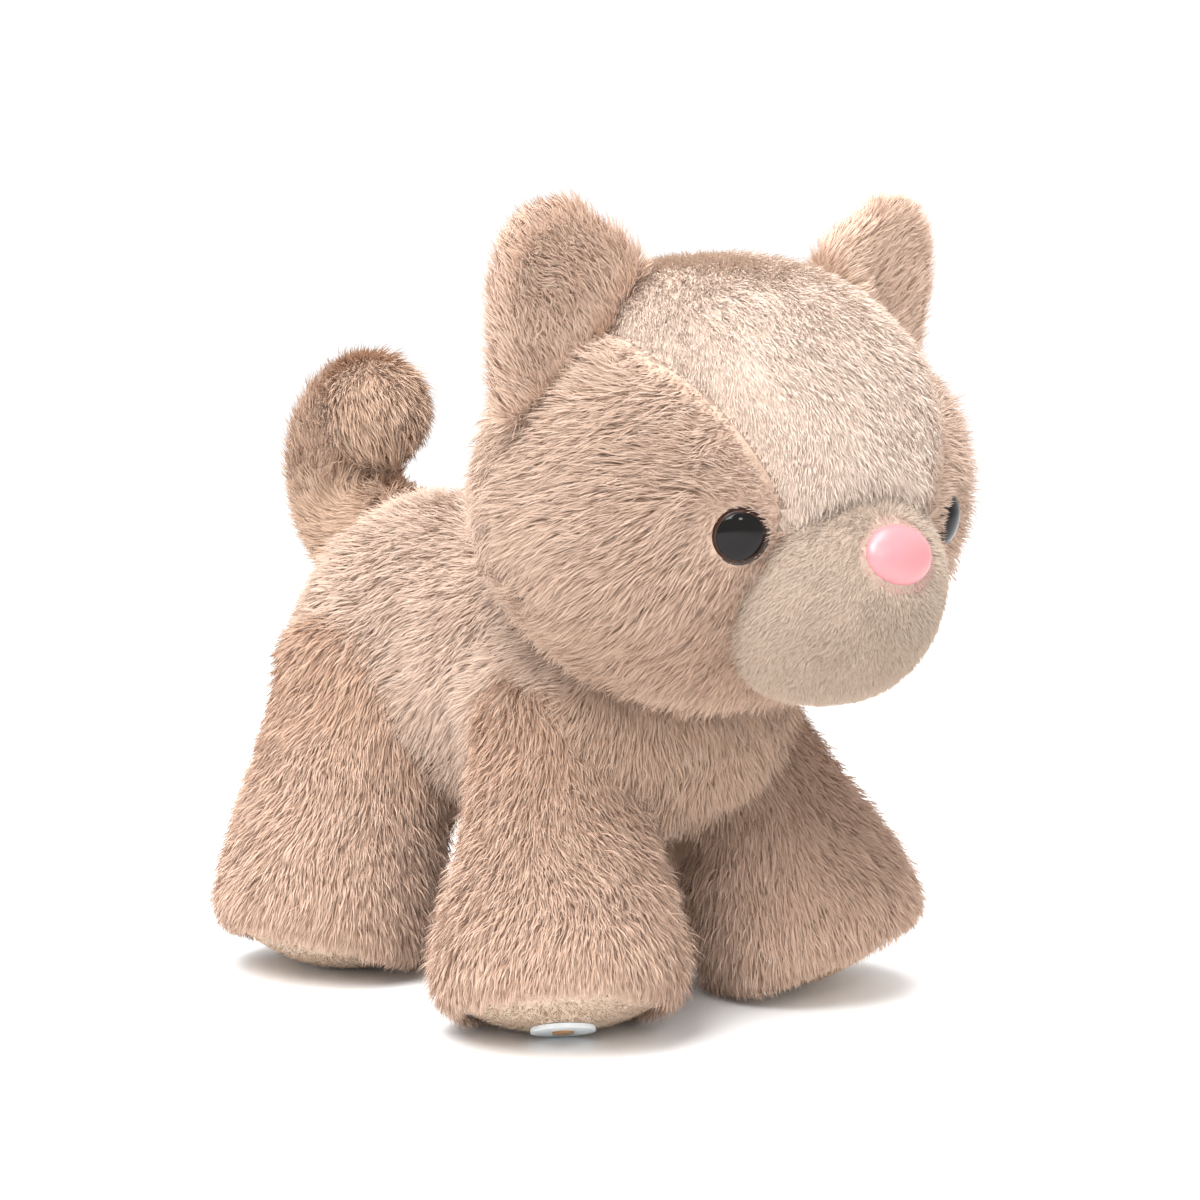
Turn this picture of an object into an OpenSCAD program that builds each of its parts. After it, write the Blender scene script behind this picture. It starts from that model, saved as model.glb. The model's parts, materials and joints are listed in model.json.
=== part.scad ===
// Interactive plush kitten standing on four splayed legs.
// Millimetres, +Z up, the toy faces -Y, X is left to right and the body is symmetric about X = 0.
// The origin is on the ground, at the middle of the outline seen from above.

/* [Head] */
// Half width of the head across the cheeks
head_half_w = 62; // [58:1:64]
// Radius of the head seen from the side
head_r = 55; // [52:1:56]
// Height of the head centre above the ground
head_z = 140; // [138:1:143]
// Radius of the muzzle ball
muzzle_r = 30; // [29.5:0.5:30.5]
// Diameter of a safety eye
eye_d = 15; // [14:0.5:15.5]
// Sideways distance from the middle to an eye
eye_x = 34; // [33.5:0.5:35]
// Width of the nose button
nose_w = 20; // [18:0.2:20.4]
// Height of the nose button
nose_h = 15; // [13.6:0.2:15.4]
// How far the nose button can be pushed in
nose_travel = 1.2; // [0.8:0.1:1.3]
// Thickness of an ear at its root
ear_t = 15; // [13:1:16]

/* [Body] */
// Radius of the chest
chest_r = 36; // [35:0.5:37]
// Radius of the rump
rump_r = 41; // [40:0.5:42]
// Height of the body's axis above the ground
body_z = 86; // [85:0.5:87]
// Radius of the tail
tail_r = 14; // [12:0.5:14]
// Radius of the tail's curl
tail_curl = 19; // [18:0.5:20]

/* [Legs] */
// Radius of a front paw
front_paw_r = 28; // [26:0.5:29]
// Radius of a hind paw
hind_paw_r = 26; // [24:0.5:27]
// Diameter of the contact ring in the right front sole
contact_d = 16.5; // [15:0.5:18]
// How far the contact pin can be pushed in
pin_travel = 0.8; // [0.4:0.1:1]

/* [Sound module] */
// Width of the sound module
module_w = 42; // [41:0.5:42]
// Length of the sound module
module_l = 56; // [56:0.5:57]
// Height of the sound module
module_h = 30; // [30:0.5:31]
// Wall of the module's case
case_wall = 1.8; // [1.6:0.1:2]

/* [Hidden] */
$fn = 48;
SIDES = ["right", "left"];

// Colours
fur_c = "#e0c2b2";
short_fur_c = "#e6d2c4";
sole_c = "#d8c4b2";

// Clearances
gap = 0.5;          // between soft pieces on different bodies
fit = 0.2;          // between a soft piece and a hard one on the same body
slide_fit = 0.3;    // around a pushed button

// Head and neck
head_c = [0, -59, head_z];
neck_dir = [0, 0.494, -0.8695];       // from the head centre towards the chest
neck_r = 23.5;
neck_top = head_r + 3.3;
neck_end = neck_top + 8.7;
neck_clear = head_r + 4;              // the head never reaches further than this along neck_dir
muzzle_c = head_c + [0, -37, -22];
nose_dir = [0, -0.947, 0.3212];
eye_c = head_c + [0, -44.5, -7.5];    // x is eye_x
eye_dir = [0.49, -0.86, -0.142];      // for the left eye
eye_dome_r = 0.6 * eye_d;
eye_dome_h = 4.1;
eye_shank_r = 2;
eye_shank_l = 10;
eye_washer_at = 3.5;                  // depth of the washer behind the dome
eye_washer_r = 6;

// Ears, left side
ear_in = [31, -59, 189];
ear_out = [58.5, -54, 160];
ear_tip = [58.5, -58, 202.5];
ear_tip_r = 7.5;

// Nose unit, measured along nose_dir from the muzzle centre
nose_corner_r = nose_h / 2;
nose_corner_x = (nose_w - nose_h) / 2;
nose_back = 14.8;
nose_mouth = 26.8;
nose_wall = 1.4;
nose_board_at = nose_back + nose_wall;
nose_board_t = 1;
nose_switch_h = 3;
nose_plate_at = 23.3;                 // back of the button's plate
nose_dome_top = 32.4;
nose_dome_r = 15;

// Body
chest_y = -27;
rump_y = 59;
tail_c = [0, 93.7, 134.5];
tail_start = -98;                     // angle round the curl where the tail leaves the body
tail_turn = 178;
tail_root = tail_c + tail_curl * [0, cos(tail_start), sin(tail_start)];
tail_ball_r = tail_r + 1;

// Legs, left side: hip centre, direction down the leg, ball radius, lengths
front_hip = [29, -25, 75];
front_dir = [0.211, -0.332, -0.9194];
front_len = 78.5;
front_ball = 19;
front_sole_r = 24;
hind_hip = [28, 57, 76];
hind_dir = [0.324, -0.074, -0.9432];
hind_len = 79;
hind_ball = 22;
hind_sole_r = 22;
sole_edge = 1;
sole_dome = 6;
hip_plane = 24;                       // flat side of the body where a leg turns
hip_disc_r = 27;
leg_free_z = 38;                      // below this a leg may reach in under the belly
front_well_l = 64;                    // length of the flat side of the body below a hip
hind_well_l = 72;

// Contact in the right front sole, measured along the leg from the hip
contact_face = front_len - 0.6;
contact_flange_t = 1.2;
contact_cup_r = contact_d / 2 - 2;
contact_depth = 9;
pin_r = 2.75;
pin_head_r = 3.8;
pin_face = front_len - 0.1;

// Sound module
module_y = 20;
module_z = 59;
module_corner = 5;
split_z = module_z + 16;
pouch_w = module_w + 1;
pouch_l = module_l + 1;
cell_r = 5.2;
cell_l = 44.5;
cell_y = module_y - 23;               // negative end of the cells
cell_z = module_z + 8;
cell_x = [-8.6, 2.2];
spring_l = 2.6;
door_w = 23;
door_l = 47;
door_x = -3.2;
door_y = module_y - 25;
door_t = 1.2;
door_tab_w = 10;
door_tab_l = 4;
door_screw_y = door_y + door_l + 2;
door_boss_h = 6;
board_z = split_z + 2;
board_t = 1.2;
speaker_y = module_y + 10;
speaker_r = 14;
screw_x = module_w / 2 - 3.4;
screw_y = module_l / 2 - 3.4;
boss_r = 2.4;
screw_r = 1;
switch_x = 15.4;
switch_y = module_y - 4;
switch_travel = 3;

// Belly flap
flap_w = 38;
flap_y0 = -7;
flap_y1 = 35;
flap_top = 55;
flap_hinge_r = 4.2;
flap_hinge_z = flap_top - flap_hinge_r;
flap_swing = 1.2;                     // room round the hinge for the flap's thick end
access_w = 34;                        // opening under the flap, into the pouch
access_y = 2;
access_l = 31;
tape_w = 30;
tape_l = 6;
tape_y = flap_y0 + 2;
tape_play = 0.05;
hook_t = 1.2;
hook_z = flap_top - 1;
loop_t = 1.1;
loop_z = flap_top + 0.45;

// ---- helpers ----

// Mirrors a left-side shape to the right when side is "right"
module on_side(side) {
    if (side == "left") children();
    else mirror([1, 0, 0]) children();
}

// Puts +Z of its children along dir, at point
module aim(point, dir) {
    translate(point) rotate([0, acos(dir[2]), atan2(dir[1], dir[0])]) children();
}

// Straight round rod between two points
module rod(from, to, r) {
    v = to - from;
    aim(from, v / norm(v)) cylinder(h = norm(v), r = r, $fn = 24);
}

// Points of a round arc
function arc(cx, cy, r, a0, a1, n) =
    [for (i = [0:n]) [cx + r * cos(a0 + (a1 - a0) * i / n), cy + r * sin(a0 + (a1 - a0) * i / n)]];

// Oval prism with the nose's corner radius, grown by grow
module nose_oval(h, grow = 0) {
    for (x = [-nose_corner_x, nose_corner_x]) translate([x, 0, 0]) cylinder(h = h, r = nose_corner_r + grow);
    translate([-nose_corner_x, -nose_corner_r - grow, 0])
        cube([2 * nose_corner_x, 2 * (nose_corner_r + grow), h]);
}

// Box with round vertical corners, centred in X and Y
module round_box(w, l, h, r) {
    for (x = [-w / 2 + r, w / 2 - r], y = [-l / 2 + r, l / 2 - r])
        translate([x, y, 0]) cylinder(h = h, r = r);
    translate([-w / 2 + r, -l / 2, 0]) cube([w - 2 * r, l, h]);
    translate([-w / 2, -l / 2 + r, 0]) cube([w, l - 2 * r, h]);
}

// Helical look of a spring as stacked rings
module spring_rings(r, wire, h, turns) {
    pitch = (h - wire) / (turns - 1);
    for (i = [0:turns - 1]) translate([0, 0, wire / 2 + i * pitch])
        rotate_extrude() translate([r, 0]) circle(d = wire, $fn = 16);
    rotate([0, 0, 90]) translate([r - wire / 2, -wire / 2, 0]) cube([wire, wire, h]);
}

// ---- head ----

module head_shape() {
    translate(head_c) rotate([0, 90, 0]) rotate_extrude($fn = 64)
        polygon([for (i = [0:24]) [head_r * sin(180 * i / 24), head_half_w * -cos(180 * i / 24)]]);
}

// Round groove in the head that an ear's root turns in
module ear_groove() {
    v = (ear_out - ear_in) / norm(ear_out - ear_in);
    r = ear_t / 2 + gap;
    rod(ear_in - r * v, ear_out + r * v, r);
}

module eye_frame(side) {
    on_side(side) aim([eye_x, eye_c[1], eye_c[2]], eye_dir) children();
}

module nose_frame() {
    translate(muzzle_c) rotate([acos(nose_dir[2]), 0, 0]) children();
}

// Way of the nose lead from the middle of the muzzle to the neck, and past it by extra
module lead_way(r, extra) {
    v = head_c + neck_dir * (head_r - 1) - muzzle_c;
    rod(muzzle_c, muzzle_c + v * (1 + extra / norm(v)), r);
}

module head_plush() color(fur_c) difference() {
    head_shape();
    translate(muzzle_c) sphere(r = muzzle_r + fit, $fn = 64);
    for (side = SIDES) {
        on_side(side) ear_groove();
        eye_frame(side) {
            translate([0, 0, -eye_shank_l - 0.5]) cylinder(h = eye_shank_l + 8, r = eye_shank_r + fit);
            translate([0, 0, -0.6]) cylinder(h = 8, r = eye_d / 2 + fit);
            translate([0, 0, -eye_washer_at - 1 - fit]) cylinder(h = 1 + 2 * fit, r = eye_washer_r + fit);
        }
    }
    lead_way(1.2, 4);
}

module muzzle_plush() color(short_fur_c) difference() {
    translate(muzzle_c) sphere(r = muzzle_r, $fn = 64);
    nose_frame() translate([0, 0, nose_back - fit]) nose_oval(20, nose_wall + slide_fit + fit);
    rod(muzzle_c, muzzle_c + nose_dir * nose_back, 1.2);
    lead_way(1.2, 4);
    translate(muzzle_c) sphere(r = 1.4);
}

module ear(side) color(fur_c) on_side(side) hull() {
    for (p = [ear_in, ear_out]) translate(p) sphere(r = ear_t / 2, $fn = 28);
    translate(ear_tip) sphere(r = ear_tip_r, $fn = 28);
}

module eye(side) color("#100c0b") eye_frame(side) {
    intersection() {
        translate([0, 0, eye_dome_h - eye_dome_r]) sphere(r = eye_dome_r);
        translate([0, 0, -0.4]) cylinder(h = 6, r = eye_d / 2);
    }
    difference() {
        translate([0, 0, -0.4]) cylinder(h = 1, r = eye_d / 2);
        translate([0, 0, 0.5]) cylinder(h = 1, r = eye_d / 2 - 1);
    }
    translate([0, 0, -eye_shank_l]) cylinder(h = eye_shank_l, r = eye_shank_r);
}

module eye_washer(side) color("#e8e6df") eye_frame(side) difference() {
    translate([0, 0, -eye_washer_at - 1]) cylinder(h = 1, r = eye_washer_r);
    translate([0, 0, -eye_washer_at - 2]) cylinder(h = 3, r = eye_shank_r + 0.02);
}

module nose_housing() color("#f4f0ec") nose_frame() difference() {
    translate([0, 0, nose_back]) nose_oval(nose_mouth - nose_back, nose_wall + slide_fit);
    translate([0, 0, nose_back + nose_wall]) nose_oval(20, slide_fit);
    translate([0, 0, nose_back - 1]) cylinder(h = 4, r = 1.6);
}

module nose_button() color("#ffb0be") nose_frame() {
    intersection() {
        translate([0, 0, nose_plate_at + 1.2]) nose_oval(nose_dome_top - nose_plate_at);
        translate([0, 0, nose_dome_top - nose_dome_r]) sphere(r = nose_dome_r, $fn = 64);
    }
    translate([0, 0, nose_plate_at]) nose_oval(1.3);
    translate([0, -4.4, nose_board_at + nose_board_t + nose_switch_h + nose_travel + 0.1])
        cylinder(h = nose_plate_at - nose_board_at - nose_board_t - nose_switch_h - nose_travel, r = 1.2);
}

module nose_spring() color("silver") nose_frame() translate([5.2, 1.2, nose_board_at + nose_board_t])
    spring_rings(2, 0.4, nose_plate_at - nose_board_at - nose_board_t, 5);

module nose_board() color("#2f6b3c") nose_frame() translate([0, 0, nose_board_at]) difference() {
    nose_oval(nose_board_t, -0.3);
    translate([-4, 3.6, -1]) cylinder(h = 4, r = 1);
}

module nose_led() color("#ffd9d9") nose_frame() translate([-4.6, 0, nose_board_at + nose_board_t]) {
    cylinder(h = 0.8, r = 1.9);
    cylinder(h = 2.6, r = 1.5);
    translate([0, 0, 2.6]) sphere(r = 1.5);
}

module nose_switch() color("#30302f") nose_frame() translate([0, -4.4, nose_board_at + nose_board_t]) {
    translate([-2, -2, 0]) cube([4, 4, 2.4]);
    translate([0, 0, 2.3]) cylinder(h = nose_switch_h - 2.3, r = 1.1);
}

module nose_lead() color("#b03a30") {
    rod(muzzle_c, muzzle_c + nose_dir * (nose_board_at - 0.1), 0.8);
    lead_way(0.8, 0);
    translate(muzzle_c) sphere(r = 0.9);
}

// Everything on the head's side of a plane across the neck, at distance d from the head centre
module towards_head(d) {
    aim(head_c, neck_dir) translate([-80, -80, d - 150]) cube([160, 160, 150]);
}

module neck_plush() color(fur_c) difference() {
    aim(head_c, neck_dir) translate([0, 0, neck_top - 9]) cylinder(h = neck_end - neck_top + 9, r = neck_r);
    aim(head_c, neck_dir) sphere(r = neck_top, $fn = 64);
    aim(head_c, neck_dir) cylinder(h = neck_end + 10, r = 1.5);
}

// ---- torso ----

// Outline of the body: two round ends joined by a straight taper, turned about the Y axis
module torso_shape(grow = 0) {
    r1 = chest_r + grow;
    r2 = rump_r + grow;
    tilt = asin((r2 - r1) / (rump_y - chest_y));
    translate([0, 0, body_z]) rotate([-90, 0, 0]) rotate_extrude($fn = 64) polygon(concat(
        arc(0, chest_y, r1, -90, -tilt, 9),
        arc(0, rump_y, r2, -tilt, 90, 11)));
}

// Round plug of the body's side that turns with a leg, left side
module hip_plug(hip, r, from_x) {
    translate([from_x, hip[1], hip[2]]) rotate([0, 90, 0]) cylinder(h = 60, r = r);
}

// Flat side of the body below a hip, where the leg swings, left side
module leg_well(hip, l) {
    translate([hip_plane, hip[1] - l / 2, 20]) cube([60, l, hip[2] - 20]);
}

module pouch_shape() {
    translate([0, module_y, module_z - 0.5]) round_box(pouch_w, pouch_l, module_h + 1, module_corner);
}

module flap_slot(grow, swing) {
    translate([-flap_w / 2 - grow, flap_y0 - grow, 0])
        cube([flap_w + 2 * grow, flap_y1 - flap_y0 + grow, flap_top + grow]);
    translate([-flap_w / 2 - grow, flap_y1, flap_hinge_z]) rotate([0, 90, 0])
        cylinder(h = flap_w + 2 * grow, r = flap_hinge_r + grow + swing);
}

module torso_plush() color(fur_c) difference() {
    torso_shape();
    towards_head(neck_end + gap);
    for (side = SIDES) on_side(side) {
        hip_plug(front_hip, hip_disc_r, hip_plane);
        hip_plug(hind_hip, hip_disc_r, hip_plane);
        leg_well(front_hip, front_well_l);
        leg_well(hind_hip, hind_well_l);
    }
    translate(tail_root) sphere(r = tail_ball_r + gap);
    pouch_shape();
    flap_slot(gap, flap_swing);
    translate([-access_w / 2, access_y, flap_top]) cube([access_w, access_l, module_z - flap_top]);
    translate([-tape_w / 2 - tape_play, tape_y + 0.5 - tape_play, flap_top])
        cube([tape_w + 2 * tape_play, tape_l - 1 + 2 * tape_play, loop_z + loop_t + tape_play - flap_top]);
    neck_channel(1.5);
    paw_channel(1.3);
}

module access_flap() color(fur_c) difference() {
    intersection() {
        torso_shape();
        flap_slot(0, 0);
    }
    translate([-tape_w / 2, tape_y, hook_z]) cube([tape_w, tape_l, 2 * hook_t]);
}

module flap_hook_tape() color("#d9cfc4")
    translate([-tape_w / 2, tape_y, hook_z]) cube([tape_w, tape_l, hook_t]);

module pouch_loop_tape() color("#e7dfd6")
    translate([-tape_w / 2, tape_y + 0.5, loop_z]) cube([tape_w, tape_l - 1, loop_t]);

module neck_channel(r) {
    a = head_c + neck_dir * (neck_end + 2);
    rod(head_c + neck_dir * (head_r + 1.8), a, r);
    rod(a, [0, module_y - module_l / 2 - 0.3, split_z + 4], r);
    translate(a) sphere(r = 1.15 * r);
}

module neck_lead() color("#b03a30") neck_channel(0.8);

module paw_channel(r) {
    rod([-hip_plane + 1.6, front_hip[1] + 1, front_hip[2] + 1],
        [-module_w / 2 + 6, module_y - module_l / 2 - 0.2, split_z + 4], r);
}

module paw_link_lead() color("#3b3b3d") paw_channel(0.7);

// ---- sound module ----

module case_body() {
    translate([0, module_y, module_z]) round_box(module_w, module_l, module_h, module_corner);
}

module case_hollow() {
    w = 2 * case_wall;
    translate([0, module_y, module_z + case_wall])
        round_box(module_w - w, module_l - w, module_h - w, module_corner - case_wall);
}

module at_screws() {
    for (x = [-screw_x, screw_x], y = [-screw_y, screw_y]) translate([x, module_y + y, 0]) children();
}

module case_half(z0, z1) {
    intersection() {
        union() {
            difference() {
                case_body();
                case_hollow();
            }
            at_screws() translate([0, 0, module_z + 0.5]) cylinder(h = module_h - 1, r = boss_r);
        }
        translate([-50, -50, z0]) cube([100, 150, z1 - z0]);
    }
}

module module_case_upper() color("#ece9e4") difference() {
    case_half(split_z, module_z + module_h);
    at_screws() translate([0, 0, module_z]) cylinder(h = 22, r = screw_r);
    for (ring = [0:2], i = [0:max(0, 6 * ring - 1)]) grille_hole(ring, i)
        translate([0, 0, module_z + module_h - 4]) cylinder(h = 8, r = 1, $fn = 16);
    rod([0, module_y - module_l / 2 - 1, split_z + 4], [0, module_y - module_l / 2 + 3, split_z + 4], 1.1);
    at_screws() translate([0, 0, board_z - 0.1]) cylinder(h = board_t + 0.2, r = boss_r + 0.2);
}

// Places hole i of a ring of the round speaker grille
module grille_hole(ring, i) {
    turn = ring == 0 ? 0 : 360 * i / (6 * ring);
    translate([0, speaker_y, 0]) rotate([0, 0, turn]) translate([4 * ring, 0, 0]) children();
}

module module_case_lower() color("#e4e1db") difference() {
    union() {
        case_half(module_z, split_z);
        translate([door_x, door_screw_y, module_z + door_t + 0.3]) cylinder(h = door_boss_h, r = boss_r);
    }
    at_screws() {
        translate([0, 0, module_z - 1]) cylinder(h = 22, r = screw_r + 0.2);
        translate([0, 0, module_z - 1]) cylinder(h = 3, r = 2.1);
    }
    translate([door_x, door_screw_y, module_z - 1]) cylinder(h = door_boss_h + 3, r = screw_r);
    door_outline(0.2, 1 + case_wall + 0.1);
    door_tab(0.2, 1 + door_t + 0.1);
    translate([switch_x - 0.9, switch_y - 4.2, module_z - 1]) cube([1.8, 8.4, 4]);
}

// Outline of the battery door, from 1 mm below the case, grown by grow
module door_outline(grow, h) {
    translate([door_x - door_w / 2 - grow, door_y - grow, module_z - 1])
        cube([door_w + 2 * grow, door_l + 2 * grow, h]);
}

module door_tab(grow, h) {
    translate([door_x - door_tab_w / 2 - grow, door_y + door_l - 1, module_z - 1])
        cube([door_tab_w + 2 * grow, door_tab_l + 1 + grow, h]);
}

module battery_door() color("#dedad3") difference() {
    translate([0, 0, 1]) {
        door_outline(0, door_t);
        door_tab(0, door_t);
    }
    translate([door_x, door_screw_y, module_z - 1]) cylinder(h = 4, r = screw_r + 0.2);
    translate([door_x, door_screw_y, module_z - 1]) cylinder(h = 1.8, r = 2.1);
    for (i = [0:3]) translate([door_x - 8, door_y + 3 + 2 * i, module_z - 1]) cube([16, 0.8, 1.4]);
}

module screw(x, y, z, l) {
    translate([x, y, z]) difference() {
        union() {
            cylinder(h = 1.1, r = 1.9);
            cylinder(h = l, r = screw_r - 0.02);
        }
        for (a = [0, 90]) rotate([0, 0, a]) translate([-1.2, -0.2, -0.1]) cube([2.4, 0.4, 0.7]);
    }
}

module battery_door_screw() color("silver") screw(door_x, door_screw_y, module_z - 0.4, 7);

module case_screws() color("silver") at_screws() screw(0, 0, module_z + 0.3, 21);

// Places its children at the negative end of a cell, with +Z along it
module cell_frame(x, back = 0) {
    translate([x, cell_y - back, cell_z]) rotate([-90, 0, 0]) children();
}

module battery(i) color("#41704d") cell_frame(cell_x[i - 1]) {
    cylinder(h = cell_l - 1, r = cell_r);
    cylinder(h = cell_l, r = 1.9);
}

module battery_springs() color("silver") for (x = cell_x) cell_frame(x, spring_l) {
    translate([-4, -4, -0.4]) cube([8, 8, 0.4]);
    difference() {
        cylinder(h = spring_l, r1 = 3.2, r2 = 2);
        translate([0, 0, -0.1]) cylinder(h = spring_l + 0.2, r1 = 2.75, r2 = 1.5);
    }
}

module battery_plates() color("silver") for (x = cell_x)
    translate([x - 4, cell_y + cell_l, cell_z - 4]) cube([8, 0.4, 8]);

module speaker_frame() color("#2c2c2e") translate([0, speaker_y, board_z + board_t]) difference() {
    union() {
        translate([0, 0, 7.2]) cylinder(h = 1.4, r = speaker_r);
        translate([0, 0, 3.6]) cylinder(h = 3.7, r1 = 9, r2 = speaker_r - 1);
    }
    translate([0, 0, 4.6]) cylinder(h = 2.61, r1 = 8, r2 = speaker_r - 2);
    translate([0, 0, 7.2]) cylinder(h = 3, r = speaker_r - 2);
    translate([0, 0, 3]) cylinder(h = 3, r = 3.2);
}

module speaker_cone() color("#4a4744") translate([0, speaker_y, board_z + board_t]) {
    translate([0, 0, 7.3]) cylinder(h = 0.6, r = speaker_r - 2.1);
    translate([0, 0, 3.8]) cylinder(h = 3.6, r = 3);
}

module speaker_magnet() color("#8a8c90")
    translate([0, speaker_y, board_z + board_t + 0.4]) cylinder(h = 3.1, r = 8);

module circuit_board() color("#2f6b3c") difference() {
    translate([-module_w / 2 + 2.4, module_y - module_l / 2 + 2.4, board_z])
        cube([module_w - 4.8, module_l - 4.8, board_t]);
    at_screws() translate([0, 0, board_z - 1]) cylinder(h = 4, r = boss_r + 0.3);
}

module sound_chip() color("#151515")
    translate([6, module_y - 14, board_z + board_t]) cylinder(h = 1.4, r1 = 5, r2 = 3.6);

module motion_switch() color("#c9a24a") translate([-12, module_y - 17, board_z + board_t]) {
    cylinder(h = 0.8, r = 2.6);
    cylinder(h = 6.5, r = 2.1);
}

module power_switch_body() color("#2a2a2c")
    translate([switch_x - 1.8, switch_y - 5, module_z + case_wall]) difference() {
        cube([3.6, 10, 3.4]);
        translate([0.8, 1.4, -1]) cube([2, 7.2, 2.6]);
    }

module power_switch_slider() color("#f2f2f2") {
    translate([switch_x - 0.8, switch_y - 3.4, module_z - 1.1]) cube([1.6, 2.2, 4.3]);
}

// ---- legs ----

// Turned outline of a leg from the ball at the hip to the sole's seam
module leg_shape(ball_r, paw_r, sole_r, len) {
    s = len - sole_edge - sole_dome;
    z = s - 13;
    rotate_extrude($fn = 56) polygon(concat(
        arc(0, 0, ball_r, -90, 0, 7),
        [[ball_r + (paw_r - ball_r) * 0.42, z * 0.45], [ball_r + (paw_r - ball_r) * 0.78, z * 0.75]],
        [for (a = [0:18:90]) [sole_r + (paw_r - sole_r) * cos(a), z + (s - z) * sin(a)]],
        [[0, s]]));
}

module leg_solid(hip, dir, ball_r, paw_r, sole_r, len) {
    difference() {
        aim(hip, dir) leg_shape(ball_r, paw_r, sole_r, len);
        translate([-100 + hip_plane + gap, -150, leg_free_z]) cube([100, 300, 150]);
        ground();
        towards_head(neck_clear);
    }
    difference() {
        intersection() {
            torso_shape();
            hip_plug(hip, hip_disc_r - gap, hip_plane + gap);
        }
        towards_head(neck_clear);
    }
}

module ground() {
    translate([-150, -150, -50]) cube([300, 300, 50]);
}

module sole_solid(hip, dir, sole_r, len) {
    s = len - sole_edge - sole_dome;
    big = (sole_r * sole_r + sole_dome * sole_dome) / (2 * sole_dome);
    half = asin(sole_r / big);
    difference() {
        aim(hip, dir) rotate_extrude($fn = 56) polygon(concat(
            [[0, s], [sole_r, s]],
            arc(0, len - big, big, 90 - half, 90, 6)));
        ground();
    }
}

module front_leg(side) color(fur_c) on_side(side) difference() {
    leg_solid(front_hip, front_dir, front_ball, front_paw_r, front_sole_r, front_len);
    if (side == "right") contact_room();
}

module hind_leg(side) color(fur_c) on_side(side)
    leg_solid(hind_hip, hind_dir, hind_ball, hind_paw_r, hind_sole_r, hind_len);

module front_sole(side) color(sole_c) on_side(side) difference() {
    sole_solid(front_hip, front_dir, front_sole_r, front_len);
    if (side == "right") contact_room();
}

module hind_sole(side) color(sole_c) on_side(side)
    sole_solid(hind_hip, hind_dir, hind_sole_r, hind_len);

module contact_frame() {
    aim(front_hip, front_dir) children();
}

// Space that the contact unit and its lead take in the leg and the sole
module contact_room() contact_frame() {
    translate([0, 0, contact_face - contact_flange_t - fit]) cylinder(h = 10, r = contact_d / 2 + fit);
    translate([0, 0, contact_face - contact_depth - 3]) cylinder(h = 20, r = contact_cup_r + 1.5);
    translate([0, 0, 4]) cylinder(h = contact_face - 10, r = 1.1);
}

module paw_contact_housing() color("#e9eff2") mirror([1, 0, 0]) contact_frame() difference() {
    union() {
        translate([0, 0, contact_face - contact_flange_t]) cylinder(h = contact_flange_t, r = contact_d / 2);
        translate([0, 0, contact_face - contact_depth]) cylinder(h = contact_depth, r = contact_cup_r);
    }
    translate([0, 0, contact_face - 2]) cylinder(h = 4, r = pin_r + 0.08);
    translate([0, 0, contact_face - contact_depth + 1.2])
        cylinder(h = contact_depth - 2.6, r = contact_cup_r - 1.4);
    translate([0, 0, contact_face - contact_depth - 1]) cylinder(h = 4, r = 1.1);
}

module paw_contact_pin() color("#a8783c") mirror([1, 0, 0]) contact_frame() {
    translate([0, 0, contact_face - 3]) cylinder(h = pin_face - contact_face + 3, r = pin_r);
    translate([0, 0, contact_face - 2.7]) cylinder(h = 1.2, r = pin_head_r);
}

module paw_contact_spring() color("silver") mirror([1, 0, 0]) contact_frame()
    translate([0, 0, contact_face - contact_depth + 1.2]) spring_rings(2.2, 0.4, contact_depth - 4.2, 5);

module paw_contact_washer() color("#e8e6df") mirror([1, 0, 0]) contact_frame()
    translate([0, 0, contact_face - 5.2]) difference() {
        cylinder(h = 1, r = contact_cup_r + 1.3);
        translate([0, 0, -1]) cylinder(h = 3, r = contact_cup_r + 0.02);
    }

module paw_lead() color("#3b3b3d") mirror([1, 0, 0]) contact_frame()
    translate([0, 0, 5]) cylinder(h = contact_face - contact_depth + 1 - 5, r = 0.8);

// ---- tail ----

module tail_plush() color(fur_c) {
    translate(tail_root) sphere(r = tail_ball_r);
    translate(tail_c) rotate([90, 0, 90]) rotate_extrude(angle = tail_turn, start = tail_start, $fn = 64)
        translate([tail_curl, 0]) circle(r = tail_r, $fn = 40);
    tip = tail_start + tail_turn - 2;
    translate(tail_c + (tail_curl + 0.4) * [0, cos(tip), sin(tip)]) sphere(r = tail_r + 0.25);
}

// ---- nodes ----

head_plush();
muzzle_plush();
ear("right");  // ear_right
ear("left");  // ear_left
eye("right");  // eye_right
eye("left");  // eye_left
eye_washer("right");  // eye_washer_right
eye_washer("left");  // eye_washer_left
nose_housing();
nose_button();
nose_spring();
nose_board();
nose_led();
nose_switch();
nose_lead();
neck_plush();
torso_plush();
access_flap();
flap_hook_tape();
pouch_loop_tape();
module_case_upper();
module_case_lower();
battery_door();
battery_door_screw();
case_screws();
battery(1);  // battery_1
battery(2);  // battery_2
battery_springs();
battery_plates();
speaker_frame();
speaker_cone();
speaker_magnet();
circuit_board();
sound_chip();
motion_switch();
power_switch_body();
power_switch_slider();
neck_lead();
paw_link_lead();
front_leg("right");  // leg_front_right
front_leg("left");  // leg_front_left
hind_leg("right");  // leg_hind_right
hind_leg("left");  // leg_hind_left
front_sole("right");  // sole_front_right
front_sole("left");  // sole_front_left
hind_sole("right");  // sole_hind_right
hind_sole("left");  // sole_hind_left
paw_contact_housing();
paw_contact_pin();
paw_contact_spring();
paw_contact_washer();
paw_lead();
tail_plush();
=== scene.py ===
import json
from math import atan, cos, pi, radians, sin, tan

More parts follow.
